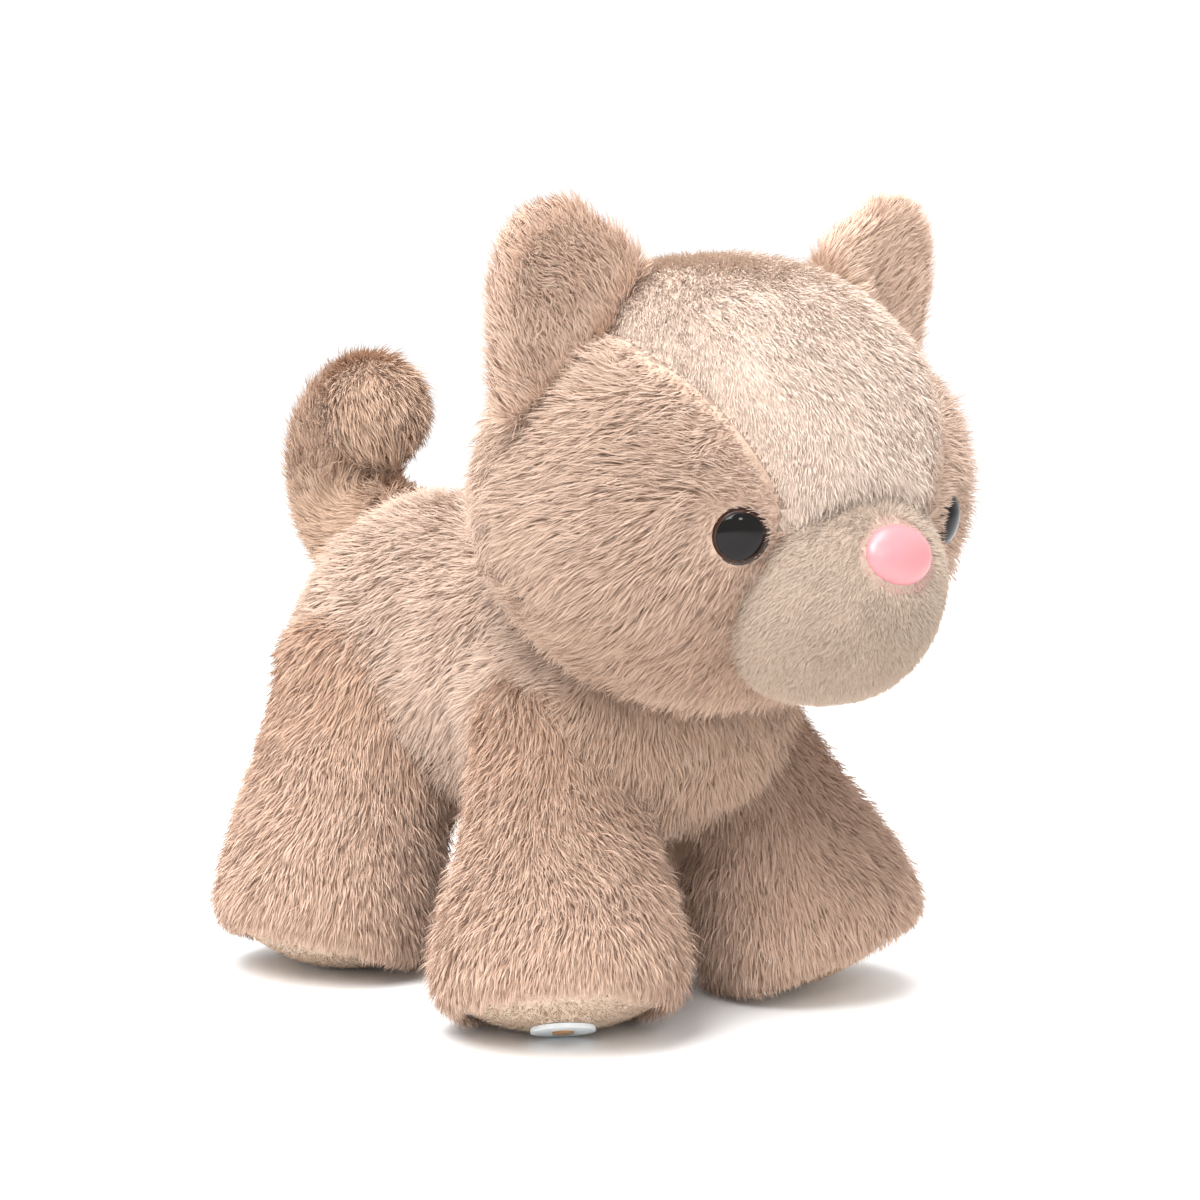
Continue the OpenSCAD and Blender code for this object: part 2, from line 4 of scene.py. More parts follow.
import bmesh
import bpy
import numpy as np
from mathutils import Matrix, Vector


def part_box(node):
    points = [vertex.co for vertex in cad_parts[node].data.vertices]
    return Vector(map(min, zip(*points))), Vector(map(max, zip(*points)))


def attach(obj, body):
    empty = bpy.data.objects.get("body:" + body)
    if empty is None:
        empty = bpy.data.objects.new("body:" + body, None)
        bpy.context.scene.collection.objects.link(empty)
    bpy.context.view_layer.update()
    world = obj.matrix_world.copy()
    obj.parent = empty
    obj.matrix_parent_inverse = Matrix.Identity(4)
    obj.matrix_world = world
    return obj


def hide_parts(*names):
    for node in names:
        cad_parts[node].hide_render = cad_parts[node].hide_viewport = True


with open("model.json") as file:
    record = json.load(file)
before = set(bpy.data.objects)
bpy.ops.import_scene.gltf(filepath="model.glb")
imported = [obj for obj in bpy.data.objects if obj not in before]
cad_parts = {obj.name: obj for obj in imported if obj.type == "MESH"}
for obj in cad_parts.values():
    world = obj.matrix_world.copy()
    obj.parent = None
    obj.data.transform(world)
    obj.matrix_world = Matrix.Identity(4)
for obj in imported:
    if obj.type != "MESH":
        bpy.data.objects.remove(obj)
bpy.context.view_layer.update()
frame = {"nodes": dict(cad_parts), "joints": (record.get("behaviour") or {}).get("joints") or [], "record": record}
MM = 0.001
SIDES = {"right": -1.0, "left": 1.0}


# ---------------------------------------------------------------- places taken from the frame

def corners(node):
    low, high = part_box(node)
    return np.array(low), np.array(high)


def joint(name):
    return next(j for j in frame["joints"] if j["name"] == name)


def unit(v):
    v = np.asarray(v, float)
    return v / np.linalg.norm(v, axis=-1, keepdims=True)


def node_points(node):
    mesh = frame["nodes"][node].data
    v = np.empty(len(mesh.vertices) * 3)
    mesh.vertices.foreach_get("co", v)
    return v.reshape(-1, 3)


HEAD_C = np.array(joint("head_nod")["pos_m"])
head_high = corners("head_plush")[1]
HEAD_R = np.array([head_high[0], head_high[2] - HEAD_C[2], head_high[2] - HEAD_C[2]])
muzzle_low, muzzle_high = corners("muzzle_plush")
MUZZLE_R = muzzle_high[0]
MUZZLE_C = np.array([0.0, muzzle_low[1] + MUZZLE_R, muzzle_low[2] + MUZZLE_R])
NOSE_DIR = -unit(joint("nose_press")["axis"])

# The body is stretched over a ball at the chest and a larger one at the rump
BODY_Z = 86 * MM
CHEST_Y, CHEST_R = -27 * MM, 36 * MM
RUMP_Y, RUMP_R = 59 * MM, 41 * MM

# Legs, left side: direction down the leg, then millimetres: length, radius at the hip, the paw and
# the sole, and how much fuller the stuffing makes the top and the foot
HIPS = {
    (end, side): np.array(joint(f"leg_swing_{end}_{side}")["pos_m"])
    for end in ("front", "hind") for side in SIDES
}
LEG = {
    "front": dict(dir=(0.211, -0.332, -0.9194), length=78.5, ball=19.0, paw=28.0, sole=24.0,
                  swell=(-2.6, 1.8)),
    "hind": dict(dir=(0.324, -0.074, -0.9432), length=79.0, ball=22.0, paw=26.0, sole=22.0,
                 swell=(1.8, 3.0)),
}
SOLE_DOME, SOLE_EDGE, SOLE_INSET = 6.0, 1.0, 1.4
LEG_CLEAR, SOLE_CLEAR = 1.5 * MM, 1.2 * MM      # lowest height of a leg's and a sole's skin
FILLET = 16 * MM                                # reach of the rounding where a leg meets the body

TAIL_ROOT = np.array(joint("tail_wag")["pos_m"])
TAIL_R, TAIL_CURL = 14 * MM, 19 * MM
TAIL_ANGLES = (-98.0, 78.0)
TAIL_START = radians(TAIL_ANGLES[0])
TAIL_C = TAIL_ROOT - TAIL_CURL * np.array([0, cos(TAIL_START), sin(TAIL_START)])
NECK_DIR = -unit(joint("head_turn")["axis"])


# ---------------------------------------------------------------- small tools

def clamp(x, a=0.0, b=1.0):
    return np.minimum(np.maximum(x, a), b)


def smooth(x, a, b):
    t = clamp((x - a) / (b - a))
    return t * t * (3 - 2 * t)


def noise(p, size, seed, waves=7):
    """Smooth seeded noise in -1..1 at points p, with features about size metres across."""
    rng = np.random.default_rng(seed)
    k = unit(rng.normal(size=(waves, 3))) * rng.uniform(0.7, 1.6, (waves, 1)) * pi / size
    phase = rng.uniform(0, 2 * pi, waves)
    return np.sin(p @ k.T + phase).sum(1) / waves * 1.6


def noise3(p, size, seed):
    return np.stack([noise(p, size, seed + 101 * i) for i in range(3)], 1)


def mesh_piece(name, verts, faces, material=None, smooth_shade=True):
    mesh = bpy.data.meshes.new(name)
    mesh.from_pydata([tuple(v) for v in verts], [], [tuple(f) for f in faces])
    mesh.validate()
    mesh.update()
    if smooth_shade:
        mesh.polygons.foreach_set("use_smooth", np.ones(len(mesh.polygons), bool))
    piece = bpy.data.objects.new(name, mesh)
    bpy.context.scene.collection.objects.link(piece)
    if material:
        mesh.materials.append(material)
    return piece


def bmesh_piece(name, bm, material):
    """A piece from an edited bmesh, with its normals facing out."""
    bmesh.ops.recalc_face_normals(bm, faces=bm.faces[:])
    mesh = bpy.data.meshes.new(name)
    bm.to_mesh(mesh)
    bm.free()
    mesh.materials.append(material)
    piece = bpy.data.objects.new(name, mesh)
    bpy.context.scene.collection.objects.link(piece)
    return piece


def unit_ball(level):
    """Vertices and faces of a unit icosphere."""
    bm = bmesh.new()
    bmesh.ops.create_icosphere(bm, subdivisions=level, radius=1.0)
    v = np.array([p.co[:] for p in bm.verts])
    f = [[p.index for p in face.verts] for face in bm.faces]
    bm.free()
    return v, f


def frame_along(axis, up=(0, 0, 1)):
    """Three unit vectors, the last along axis."""
    z = unit(axis)
    x = np.cross(up, z)
    if np.linalg.norm(x) < 1e-6:
        x = np.array([1.0, 0, 0])
    x = unit(x)
    return x, np.cross(z, x), z


def dome_faces(rings, turns):
    """Faces of a dome whose first point is its top, followed by rings of turns points."""
    faces = [(0, 1 + j, 1 + (j + 1) % turns) for j in range(turns)]
    for i in range(rings - 1):
        b, c = 1 + i * turns, 1 + (i + 1) * turns
        faces += [(b + j, c + j, c + (j + 1) % turns, b + (j + 1) % turns) for j in range(turns)]
    return faces


def lathe(name, origin, axis, outline, material, turns=72):
    """Closed surface of (radius, height) points turned about axis."""
    x, y, z = frame_along(axis)
    a = np.linspace(0, 2 * pi, turns, endpoint=False)
    verts, faces = [], []
    for r, h in outline:
        verts += [origin + x * (r * cos(t)) + y * (r * sin(t)) + z * h for t in a]
    rows = len(outline)
    for i in range(rows - 1):
        for j in range(turns):
            k = (j + 1) % turns
            faces.append((i * turns + j, i * turns + k, (i + 1) * turns + k, (i + 1) * turns + j))
    faces.append(tuple(reversed(range(turns))))
    faces.append(tuple((rows - 1) * turns + j for j in range(turns)))
    return mesh_piece(name, verts, faces, material)


# ---------------------------------------------------------------- materials

def principled(name, colour, rough=0.6, **values):
    mat = bpy.data.materials.new(name)
    mat.use_nodes = True
    shader = mat.node_tree.nodes["Principled BSDF"]
    shader.inputs["Base Color"].default_value = (*colour, 1)
    shader.inputs["Roughness"].default_value = rough
    for key, value in values.items():
        shader.inputs[key.replace("_", " ")].default_value = value
    return mat


def detail(mat, colours, scale, bump=0.2, distance=0.0003, rough=None, kind="noise"):
    """Colour variation, roughness variation and bump from one procedural texture in object space."""
    tree = mat.node_tree
    nodes, links = tree.nodes, tree.links
    shader = nodes["Principled BSDF"]
    place = nodes.new("ShaderNodeTexCoord")
    if kind == "cells":
        texture = nodes.new("ShaderNodeTexVoronoi")
        value = texture.outputs["Distance"]
    else:
        texture = nodes.new("ShaderNodeTexNoise")
        texture.inputs["Detail"].default_value = 5
        value = texture.outputs["Fac"]
    texture.inputs["Scale"].default_value = scale
    links.new(place.outputs["Object"], texture.inputs["Vector"])
    ramp = nodes.new("ShaderNodeValToRGB")
    ramp.color_ramp.elements[0].position = 0.3
    ramp.color_ramp.elements[1].position = 0.7
    ramp.color_ramp.elements[0].color = (*colours[0], 1)
    ramp.color_ramp.elements[1].color = (*colours[1], 1)
    links.new(value, ramp.inputs["Fac"])
    links.new(ramp.outputs["Color"], shader.inputs["Base Color"])
    height = nodes.new("ShaderNodeBump")
    height.inputs["Strength"].default_value = bump
    height.inputs["Distance"].default_value = distance
    links.new(value, height.inputs["Height"])
    links.new(height.outputs["Normal"], shader.inputs["Normal"])
    if rough:
        spread = nodes.new("ShaderNodeMapRange")
        spread.inputs["To Min"].default_value = rough[0]
        spread.inputs["To Max"].default_value = rough[1]
        links.new(value, spread.inputs["Value"])
        links.new(spread.outputs["Result"], shader.inputs["Roughness"])
    return mat


def tint(colour, factor, warm=0.0):
    """A colour made lighter by factor, and warmer or cooler by warm."""
    r, g, b = colour
    return (min(1, r * factor * (1 + warm)), min(1, g * factor), min(1, b * factor * (1 - warm)))


FUR = (0.455, 0.325, 0.25)
BODY_FUR = (0.50, 0.365, 0.285)
LEG_FUR = (0.52, 0.36, 0.27)
EAR_FUR = (0.62, 0.46, 0.36)
TAIL_FUR = (0.50, 0.345, 0.25)
SHORT = (0.58, 0.47, 0.395)
MUZZLE = (0.44, 0.35, 0.28)
SOLE = (0.60, 0.47, 0.36)
# Pink painted glow: the nose's light on the pile round it, painted into the strands' colour
PAINTED_NOSE_GLOW = (0.54, 0.34, 0.30)


def shades(name, colour, factors):
    """Strand materials from dark to light, each with its own warmth."""
    return [
        principled(f"{name}_{i}", tint(colour, f, w), 0.75, Sheen_Weight=0.5, Sheen_Roughness=0.4,
                   Sheen_Tint=(1, 0.80, 0.70, 1), Specular_IOR_Level=0.15)
        for i, (f, w) in enumerate(factors)
    ]


# Strand shades from dark to light. The darker ones are warmer, like shade deep in the pile, since besides random
# variation they carry the painted shade at the roots and in the tone masks
SPREAD = ((0.80, 0.09), (0.88, 0.05), (0.94, 0.02), (1.0, 0.0), (1.06, -0.02), (1.12, -0.04))
NARROW = ((0.84, 0.05), (0.92, 0.025), (1.0, 0.0), (1.06, -0.01))
HEAD_PILE = shades("head_pile", FUR, SPREAD)
BODY_PILE = shades("body_pile", BODY_FUR, SPREAD)
LEG_PILE = shades("leg_pile", LEG_FUR, SPREAD)
EAR_PILE = shades("ear_pile", EAR_FUR, SPREAD)
TAIL_PILE = shades("tail_pile", TAIL_FUR, SPREAD)
SHORT_PILE = shades("short_pile", SHORT, NARROW)
MUZZLE_PILE = shades("muzzle_pile", MUZZLE, NARROW)
SOLE_PILE = shades("sole_pile", SOLE, NARROW)
PAINTED_NOSE_GLOW_PILE = shades("painted_nose_glow_pile", PAINTED_NOSE_GLOW, ((0.96, 0.0), (1.0, 0.0)))


def nap(name, colour):
    """Dense short underfur, drawn on a skin beneath its strands."""
    mat = principled(name, colour, 0.9, Sheen_Weight=0.3, Sheen_Roughness=0.5, Specular_IOR_Level=0.2)
    return detail(mat, (tint(colour, 0.86, 0.02), tint(colour, 1.02)), 900, 0.6, 0.0006, (0.8, 0.98))


LONG_NAP = nap("long_nap", tint(FUR, 1.06))
PALE_NAP = nap("pale_nap", SHORT)
# Darker underfur for the forehead seam's groove: painted shade in the crease
SEAM_SHADE_NAP = nap("seam_painted_shade_nap", tint(FUR, 0.6))
SHORT_NAP = nap("short_nap", MUZZLE)
SOLE_NAP = nap("sole_nap", SOLE)
LINING = nap("lining", (0.55, 0.47, 0.42))


# ---------------------------------------------------------------- soft forms

def body_radius(y):
    """Radius of the body at distance y along its axis."""
    slope = (RUMP_R - CHEST_R) / (RUMP_Y - CHEST_Y)
    y1 = CHEST_Y - CHEST_R * slope
    y2 = RUMP_Y - RUMP_R * slope
    straight = (CHEST_R + slope * (y - CHEST_Y)) * (1 + slope ** 2) ** 0.5
    front = np.sqrt(np.maximum(CHEST_R ** 2 - (y - CHEST_Y) ** 2, 0))
    back = np.sqrt(np.maximum(RUMP_R ** 2 - (y - RUMP_Y) ** 2, 0))
    return np.where(y < y1, front, np.where(y > y2, back, straight))


def in_body(p):
    """Signed depth: negative inside the body."""
    t = clamp((p[:, 1] - CHEST_Y) / (RUMP_Y - CHEST_Y))
    c = np.stack([0 * t, CHEST_Y + t * (RUMP_Y - CHEST_Y), 0 * t + BODY_Z], 1)
    return np.linalg.norm(p - c, axis=1) - (CHEST_R + t * (RUMP_R - CHEST_R))


def in_head(p):
    q = (p - HEAD_C) / HEAD_R
    n = np.linalg.norm(q, axis=1)
    return (n - 1) * HEAD_R[1]


def in_muzzle(p):
    return np.linalg.norm(p - MUZZLE_C, axis=1) - MUZZLE_R


def leg_dir(end, side):
    d = np.array(LEG[end]["dir"])
    return unit(d * [SIDES[side], 1, 1])


def leg_radius(end, s):
    """Radius of a leg at distance s (mm) down from the hip."""
    k = LEG[end]
    seam = k["length"] - SOLE_DOME - SOLE_EDGE
    knee = seam - 13
    steps = [-k["ball"], 0, 0.45 * knee, 0.75 * knee, knee]
    radii = [0, k["ball"], k["ball"] + (k["paw"] - k["ball"]) * 0.42,
             k["ball"] + (k["paw"] - k["ball"]) * 0.78, k["paw"]]
    s = np.asarray(s, float)
    top = np.sqrt(np.maximum(k["ball"] ** 2 - np.minimum(s, 0) ** 2, 0))
    middle = np.interp(s, steps[1:], radii[1:])
    turn = clamp((s - knee) / (seam - knee))
    foot = k["sole"] + (k["paw"] - k["sole"]) * np.sqrt(1 - turn ** 2)
    return np.where(s < 0, top, np.where(s < knee, middle, foot))


def in_leg(end, side, p):
    k = LEG[end]
    q = (p - HIPS[end, side]) / MM
    d = leg_dir(end, side)
    s = q @ d
    r = np.linalg.norm(q - s[:, None] * d, axis=1)
    inside = r - leg_radius(end, clamp(s, 0, k["length"] - 7))
    above = np.linalg.norm(q, axis=1) - k["ball"]
    return np.where(s < 0, above, np.maximum(inside, s - (k["length"] - 4))) * MM


def tail_point(deg):
    a = np.radians(deg)
    return TAIL_C + TAIL_CURL * np.stack([0 * a, np.cos(a), np.sin(a)], -1)


def in_tail(p):
    a = np.degrees(np.arctan2(p[:, 2] - TAIL_C[2], p[:, 1] - TAIL_C[1]))
    a = clamp(a, *TAIL_ANGLES)
    return np.linalg.norm(p - tail_point(a), axis=1) - TAIL_R


def seam_half_width(angle):
    """Half width of the forehead panel, by the angle up over the head from straight ahead."""
    return (41.5 - 17 * clamp(1 - angle / 65) ** 1.6) * MM


def head_angle(p):
    """Angle up over the head from straight ahead."""
    return np.degrees(np.arctan2(p[:, 2] - HEAD_C[2], -(p[:, 1] - HEAD_C[1])))


def forehead(p):
    """Signed distance across the forehead seam: negative on the forehead panel."""
    angle = head_angle(p)
    d = np.abs(p[:, 0]) - seam_half_width(angle)
    return np.where((angle > -8) & (angle < 125), d, 0.02)


def head_form(u):
    """Ball mapped to the head, with fuller cheeks, a raised forehead panel and its sunken seam."""
    p = HEAD_C + u * (HEAD_R + 0.4 * MM)
    cheek = np.exp(-((u[:, 2] + 0.25) / 0.45) ** 2)
    p[:, 0] *= 1 + 0.03 * cheek
    d = forehead(p)
    groove = 2 * MM * np.exp(-(d / (1.6 * MM)) ** 2)
    bulge = 2.4 * MM * smooth(-d, 0, 12 * MM)
    p += u * (bulge - groove)[:, None]
    sink = np.exp(-(in_muzzle(p) / (3 * MM)) ** 2) * 1.5 * MM
    p -= u * sink[:, None]
    return p + u * (0.8 * MM * noise(p, 0.03, 5))[:, None]


def muzzle_form(u):
    p = MUZZLE_C + u * (MUZZLE_R - 0.5 * MM)
    return p + u * (0.4 * MM * noise(p, 0.02, 9))[:, None]


def fillet(d, reach):
    """How far a skin rises beside another form, at signed distance d from it."""
    return np.maximum(reach - np.abs(d), 0) ** 2 / (4 * reach)


def body_form(u):
    """Ball mapped to the body, drawn out a little where it meets the legs."""
    mid = (CHEST_Y + RUMP_Y) / 2
    half = np.where(u[:, 1] < 0, mid - (CHEST_Y - CHEST_R), (RUMP_Y + RUMP_R) - mid)
    y = mid + clamp(u[:, 1], -1, 1) * half
    r = body_radius(np.clip(y, CHEST_Y - CHEST_R + 1e-6, RUMP_Y + RUMP_R - 1e-6))
    flat = np.hypot(u[:, 0], u[:, 2])
    flat = np.where(flat < 1e-9, 1, flat)
    p = np.stack([u[:, 0] / flat * r, y, BODY_Z + u[:, 2] / flat * r], 1)
    q = unit(p - np.stack([0 * y, np.clip(y, CHEST_Y, RUMP_Y), 0 * y + BODY_Z], 1))
    legs_near = sum(fillet(in_leg(end, side, p), FILLET) for end in LEG for side in SIDES)
    return p + q * (0.9 * MM + 0.9 * MM * noise(p, 0.035, 21) + legs_near)[:, None]


def leg_form(end, side, u):
    """Ball mapped to a leg: the pole along the leg becomes the sole."""
    k = LEG[end]
    x, y, z = frame_along(leg_dir(end, side), (0, 1, 0))
    t = np.arcsin(clamp(u[:, 2], -1, 1)) / pi + 0.5
    seam = k["length"] - SOLE_DOME - SOLE_EDGE
    s = -k["ball"] + (seam + k["ball"]) * clamp(t / 0.86)
    r = np.maximum(leg_radius(end, s), 0) * np.where(t > 0.86, clamp((1 - t) / 0.14), 1)
    flat = np.maximum(np.hypot(u[:, 0], u[:, 1]), 1e-9)
    p = (np.outer(u[:, 0] / flat * r, x) + np.outer(u[:, 1] / flat * r, y) + np.outer(s, z)) * MM
    p += HIPS[end, side]
    out = unit(np.outer(u[:, 0], x) + np.outer(u[:, 1], y) + 1e-9)
    top_swell, foot_swell = k["swell"]
    wobble = 0.6 * MM + MM * noise(p, 0.03, 31 + (end == "hind") + 2 * (side == "left"))
    wobble += (top_swell + (foot_swell - top_swell) * smooth(s, 10, 60)) * MM
    p += out * ((wobble + fillet(in_body(p), FILLET)) * smooth(r, 4, 12))[:, None]
    p[:, 2] = np.maximum(p[:, 2], LEG_CLEAR)
    return p


def sole_form(end, side, rings=14, turns=64):
    """Domed sole patch with a rolled edge, as rings of points from the middle out."""
    k = LEG[end]
    x, y, z = frame_along(leg_dir(end, side), (0, 1, 0))
    ball = (k["sole"] ** 2 + SOLE_DOME ** 2) / (2 * SOLE_DOME)
    verts = [HIPS[end, side] + z * (k["length"] - SOLE_INSET) * MM]
    a = np.linspace(0, 2 * pi, turns, endpoint=False)
    for i in range(1, rings + 1):
        r = k["sole"] * min(1.0, i / (rings - 2))
        h = k["length"] - ball + (ball ** 2 - r ** 2) ** 0.5 - SOLE_INSET
        if i > rings - 2:
            h -= 1.2 * (i - rings + 2)
            r -= 0.8 * (i - rings + 2) ** 2
        for t in a:
            verts.append(HIPS[end, side] + (x * cos(t) * r + y * sin(t) * r + z * h) * MM)
    v = np.array(verts)
    v[:, 2] = np.maximum(v[:, 2], SOLE_CLEAR)
    return v, dome_faces(rings, turns)


def tail_form(u):
    """Ball mapped to the curl, with round ends."""
    t = np.arcsin(clamp(u[:, 2], -1, 1)) / pi + 0.5
    a = TAIL_ANGLES[0] + (TAIL_ANGLES[1] - TAIL_ANGLES[0]) * clamp((t - 0.1) / 0.8)
    c = tail_point(a)
    along = np.stack([0 * a, -np.sin(np.radians(a)), np.cos(np.radians(a))], 1)
    out = np.stack([0 * a, np.cos(np.radians(a)), np.sin(np.radians(a))], 1)
    cap = np.where(t < 0.1, t / 0.1 - 1, np.where(t > 0.9, (t - 0.9) / 0.1, 0))
    r = (TAIL_R + 1.2 * MM) * np.sqrt(np.maximum(1 - cap ** 2, 0))
    flat = np.maximum(np.hypot(u[:, 0], u[:, 1]), 1e-9)[:, None]
    side = np.array([1.0, 0, 0])
    ring = u[:, :1] / flat * side + u[:, 1:2] / flat * out
    return c + ring * r[:, None] + along * (cap * TAIL_R)[:, None]


# Ears, left side: the hinge along the root, the way up and the way the ear faces
EAR_IN = np.array(joint("ear_fold_left")["pos_m"])
EAR_AXIS = unit(joint("ear_fold_left")["axis"])
EAR_R = 7.5 * MM
ear_pts = node_points("ear_left") - EAR_IN
EAR_BASE = (ear_pts @ EAR_AXIS).max() - EAR_R
EAR_UP = unit(ear_pts[np.argmax(np.linalg.norm(np.cross(ear_pts, EAR_AXIS), axis=1))])
EAR_UP = unit(EAR_UP - EAR_AXIS * (EAR_UP @ EAR_AXIS))
EAR_FRONT = unit(np.cross(EAR_AXIS, EAR_UP))
if EAR_FRONT[1] > 0:
    EAR_FRONT = -EAR_FRONT
EAR_TOP = (ear_pts @ EAR_UP).max()
EAR_TIP_AT = ear_pts[np.argmax(ear_pts @ EAR_UP)] @ EAR_AXIS
EAR_TRIM = {"right": (0.9, 2.0), "left": (1.03, 4.0)}       # height factor, and how far out in mm


def ear_form(side, u):
    """Ball mapped to a stuffed, round-tipped triangle with a dished front."""
    h = (u[:, 2] + 1) / 2
    tall, out = EAR_TRIM[side]
    up = -EAR_R * 0.6 + (EAR_TOP * tall - 1 * MM + EAR_R * 0.6) * h
    half = (EAR_BASE / 2 + EAR_R + 1.5 * MM) * (1 - 0.62 * h ** 1.2)
    mid = EAR_BASE / 2 + (EAR_TIP_AT - EAR_BASE / 2) * h
    ring = np.sqrt(np.maximum(1 - u[:, 2] ** 2, 1e-9))
    fill = clamp(ring * 1.25, 0, 1) ** 0.7
    across = mid + u[:, 0] / ring * half * fill
    thick = EAR_R * (1 - 0.35 * h) * fill
    depth = u[:, 1] / ring * thick
    dish = 3.2 * MM * smooth(u[:, 1], 0.1, 0.8) * (1 - (u[:, 0] / ring) ** 2)
    dish *= smooth(h, 0.05, 0.35) * (1 - smooth(h, 0.8, 1))
    p = EAR_IN + np.outer(across, EAR_AXIS) + np.outer(up, EAR_UP) + np.outer(depth - dish, EAR_FRONT)
    return (p + [out * MM, 0, 0]) * [SIDES[side], 1, 1]


def outward(piece):
    """Faces a closed skin's normals out, which a mirrored form turns in."""
    bm = bmesh.new()
    bm.from_mesh(piece.data)
    bmesh.ops.recalc_face_normals(bm, faces=bm.faces[:])
    bm.to_mesh(piece.data)
    bm.free()
    piece.data.update()


def skin(name, form, level, material, body, nodes=()):
    u, faces = unit_ball(level)
    piece = mesh_piece(name, form(u), faces, material)
    outward(piece)
    return soft(piece, body, nodes)


def soft(piece, body, nodes=()):
    """Attaches a stuffed piece to the body it rides on, and hides the CAD nodes it stands for."""
    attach(piece, body)
    if nodes:
        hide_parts(*nodes)
    return piece


# ---------------------------------------------------------------- pile

def sample(piece, density, seed):
    """Random points on a mesh, density a square millimetre, with their smooth normals."""
    rng = np.random.default_rng(seed)
    mesh = piece.data
    mesh.calc_loop_triangles()
    n = len(mesh.loop_triangles)
    tri = np.empty(n * 3, np.int64)
    mesh.loop_triangles.foreach_get("vertices", tri)
    tri = tri.reshape(-1, 3)
    v = np.empty(len(mesh.vertices) * 3)
    mesh.vertices.foreach_get("co", v)
    v = v.reshape(-1, 3)
    vn = np.empty(len(mesh.vertices) * 3)
    mesh.vertex_normals.foreach_get("vector", vn)
    vn = vn.reshape(-1, 3)
    a, b, c = v[tri[:, 0]], v[tri[:, 1]], v[tri[:, 2]]
    area = np.linalg.norm(np.cross(b - a, c - a), axis=1) / 2
    count = int(area.sum() * 1e6 * density)
    pick = rng.choice(n, count, p=area / area.sum())
    r1, r2 = np.sqrt(rng.random(count)), rng.random(count)
    w = np.stack([1 - r1, r1 * (1 - r2), r1 * r2], 1)[:, :, None]
    p = (v[tri[pick]] * w).sum(1)
    normal = unit((vn[tri[pick]] * w).sum(1))
    return p, normal


def tufts(p, size, seed):
    """Groups points into irregular tufts: each point's tuft number, and each tuft's mean point."""
    q = p + 0.45 * size * noise3(p, size * 2.6, seed)
    cell = np.floor(q / size).astype(np.int64)
    key = cell @ np.array([73856093, 19349663, 83492791])
    _, group = np.unique(key, return_inverse=True)
    total = np.bincount(group)
    mean = np.stack([np.bincount(group, p[:, i]) / total for i in range(3)], 1)
    return group, mean


MAX_FACES = 190000
PILE_DENSITY = 1.0
UPRIGHT = (0.42, 0.22)      # how much more some strands stand up, and what share of them


def pile(name, body, skin_piece, flow, materials, seed, length=6.8, width=0.33, density=3.1,
         lift=0.42, tuft=1.5, clump=0.24, keep=None, scale=None, tone=None, steps=3, fall=0.1, curl=0.15):
    """A layer of pile on a skin: thousands of tapered strands, combed along flow, gathered in tufts.
    flow(points, normals) gives the combing direction, keep(points) the strands that stay,
    scale(points) their length and tone(points) how much lighter they are. Sizes in millimetres."""
    rng = np.random.default_rng(seed)
    p, n = sample(skin_piece, density * PILE_DENSITY, seed)
    if keep is not None:
        stay = keep(p)
        p, n = p[stay], n[stay]
    count = len(p)
    comb = flow(p, n) + 0.45 * noise3(p, 0.016, seed + 1) + 0.28 * noise3(p, 0.004, seed + 2)
    comb = unit(comb - n * (comb * n).sum(1, keepdims=True))
    group, centre = tufts(p, tuft * MM, seed + 3)
    size = length * MM * (0.75 + 0.5 * rng.random(count)) * (1 + 0.15 * noise(p, 0.008, seed + 4))
    if scale is not None:
        size *= scale(p)
    raised = lift + UPRIGHT[0] * (rng.random(count) < UPRIGHT[1])
    raised = raised + 0.08 * noise(p, 0.012, seed + 5) + 0.08 * rng.normal(size=count)
    stand = clamp(raised, 0.12, 0.95)[:, None]
    start = unit(n * stand + comb * (1 - stand) + 0.15 * rng.normal(size=(count, 3)))
    end = n * stand * 0.6 + comb * (1.1 - stand * 0.6) + [0, 0, -fall]
    end = unit(end + curl * rng.normal(size=(count, 3)))
    t = np.linspace(0, 1, steps + 1)
    lines = [p - n * 0.3 * MM]
    for i in range(1, steps + 1):
        mid = unit(start * (1 - t[i]) + end * t[i])
        lines.append(lines[-1] + mid * (size / steps)[:, None])
    lines = np.stack(lines, 1)
    total = np.bincount(group)
    for i in range(1, steps + 1):
        mean = np.stack([np.bincount(group, lines[:, i, k]) / total for k in range(3)], 1)
        lines[:, i] += (mean[group] - lines[:, i]) * (clump * t[i] ** 1.3)
    lines[:, :, 2] = np.maximum(lines[:, :, 2], 0.4 * MM)
    along = unit(lines[:, 1:] - lines[:, :-1])
    along = np.concatenate([along, along[:, -1:]], 1)
    turn = rng.uniform(-0.9, 0.9, count)
    side = unit(np.cross(along[:, 0], n))
    side = unit(side * np.cos(turn)[:, None] + n * np.sin(turn)[:, None])
    half = width * MM / 2 * (0.8 + 0.4 * rng.random(count))
    taper = [1.0, 0.95, 0.7, 0.0] if steps == 3 else [1.0, 0.75, 0.0]
    shade = 0.8 * noise(centre, 0.003, seed + 6)[group] + 0.4 * noise(p, 0.02, seed + 7)
    level = 0.55 + 0.13 * (shade + 0.6 * rng.normal(size=count))
    # tone lightens or darkens strands by place; the callers use it for painted shade and painted light
    if tone is not None:
        level += tone(p)
    level = clamp(level, 0, 0.999)
    slot_of = (level * len(materials)).astype(np.int32)
    per = MAX_FACES // (2 * steps - 1)
    order = np.argsort(p[:, 1], kind="stable")
    parts = max(1, -(-count // per))
    for k, chunk in enumerate(np.array_split(order, parts)):
        piece = strand_mesh(f"{name}_{k + 1}", lines[chunk], side[chunk], half[chunk], taper,
                            slot_of[chunk], materials)
        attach(piece, body)


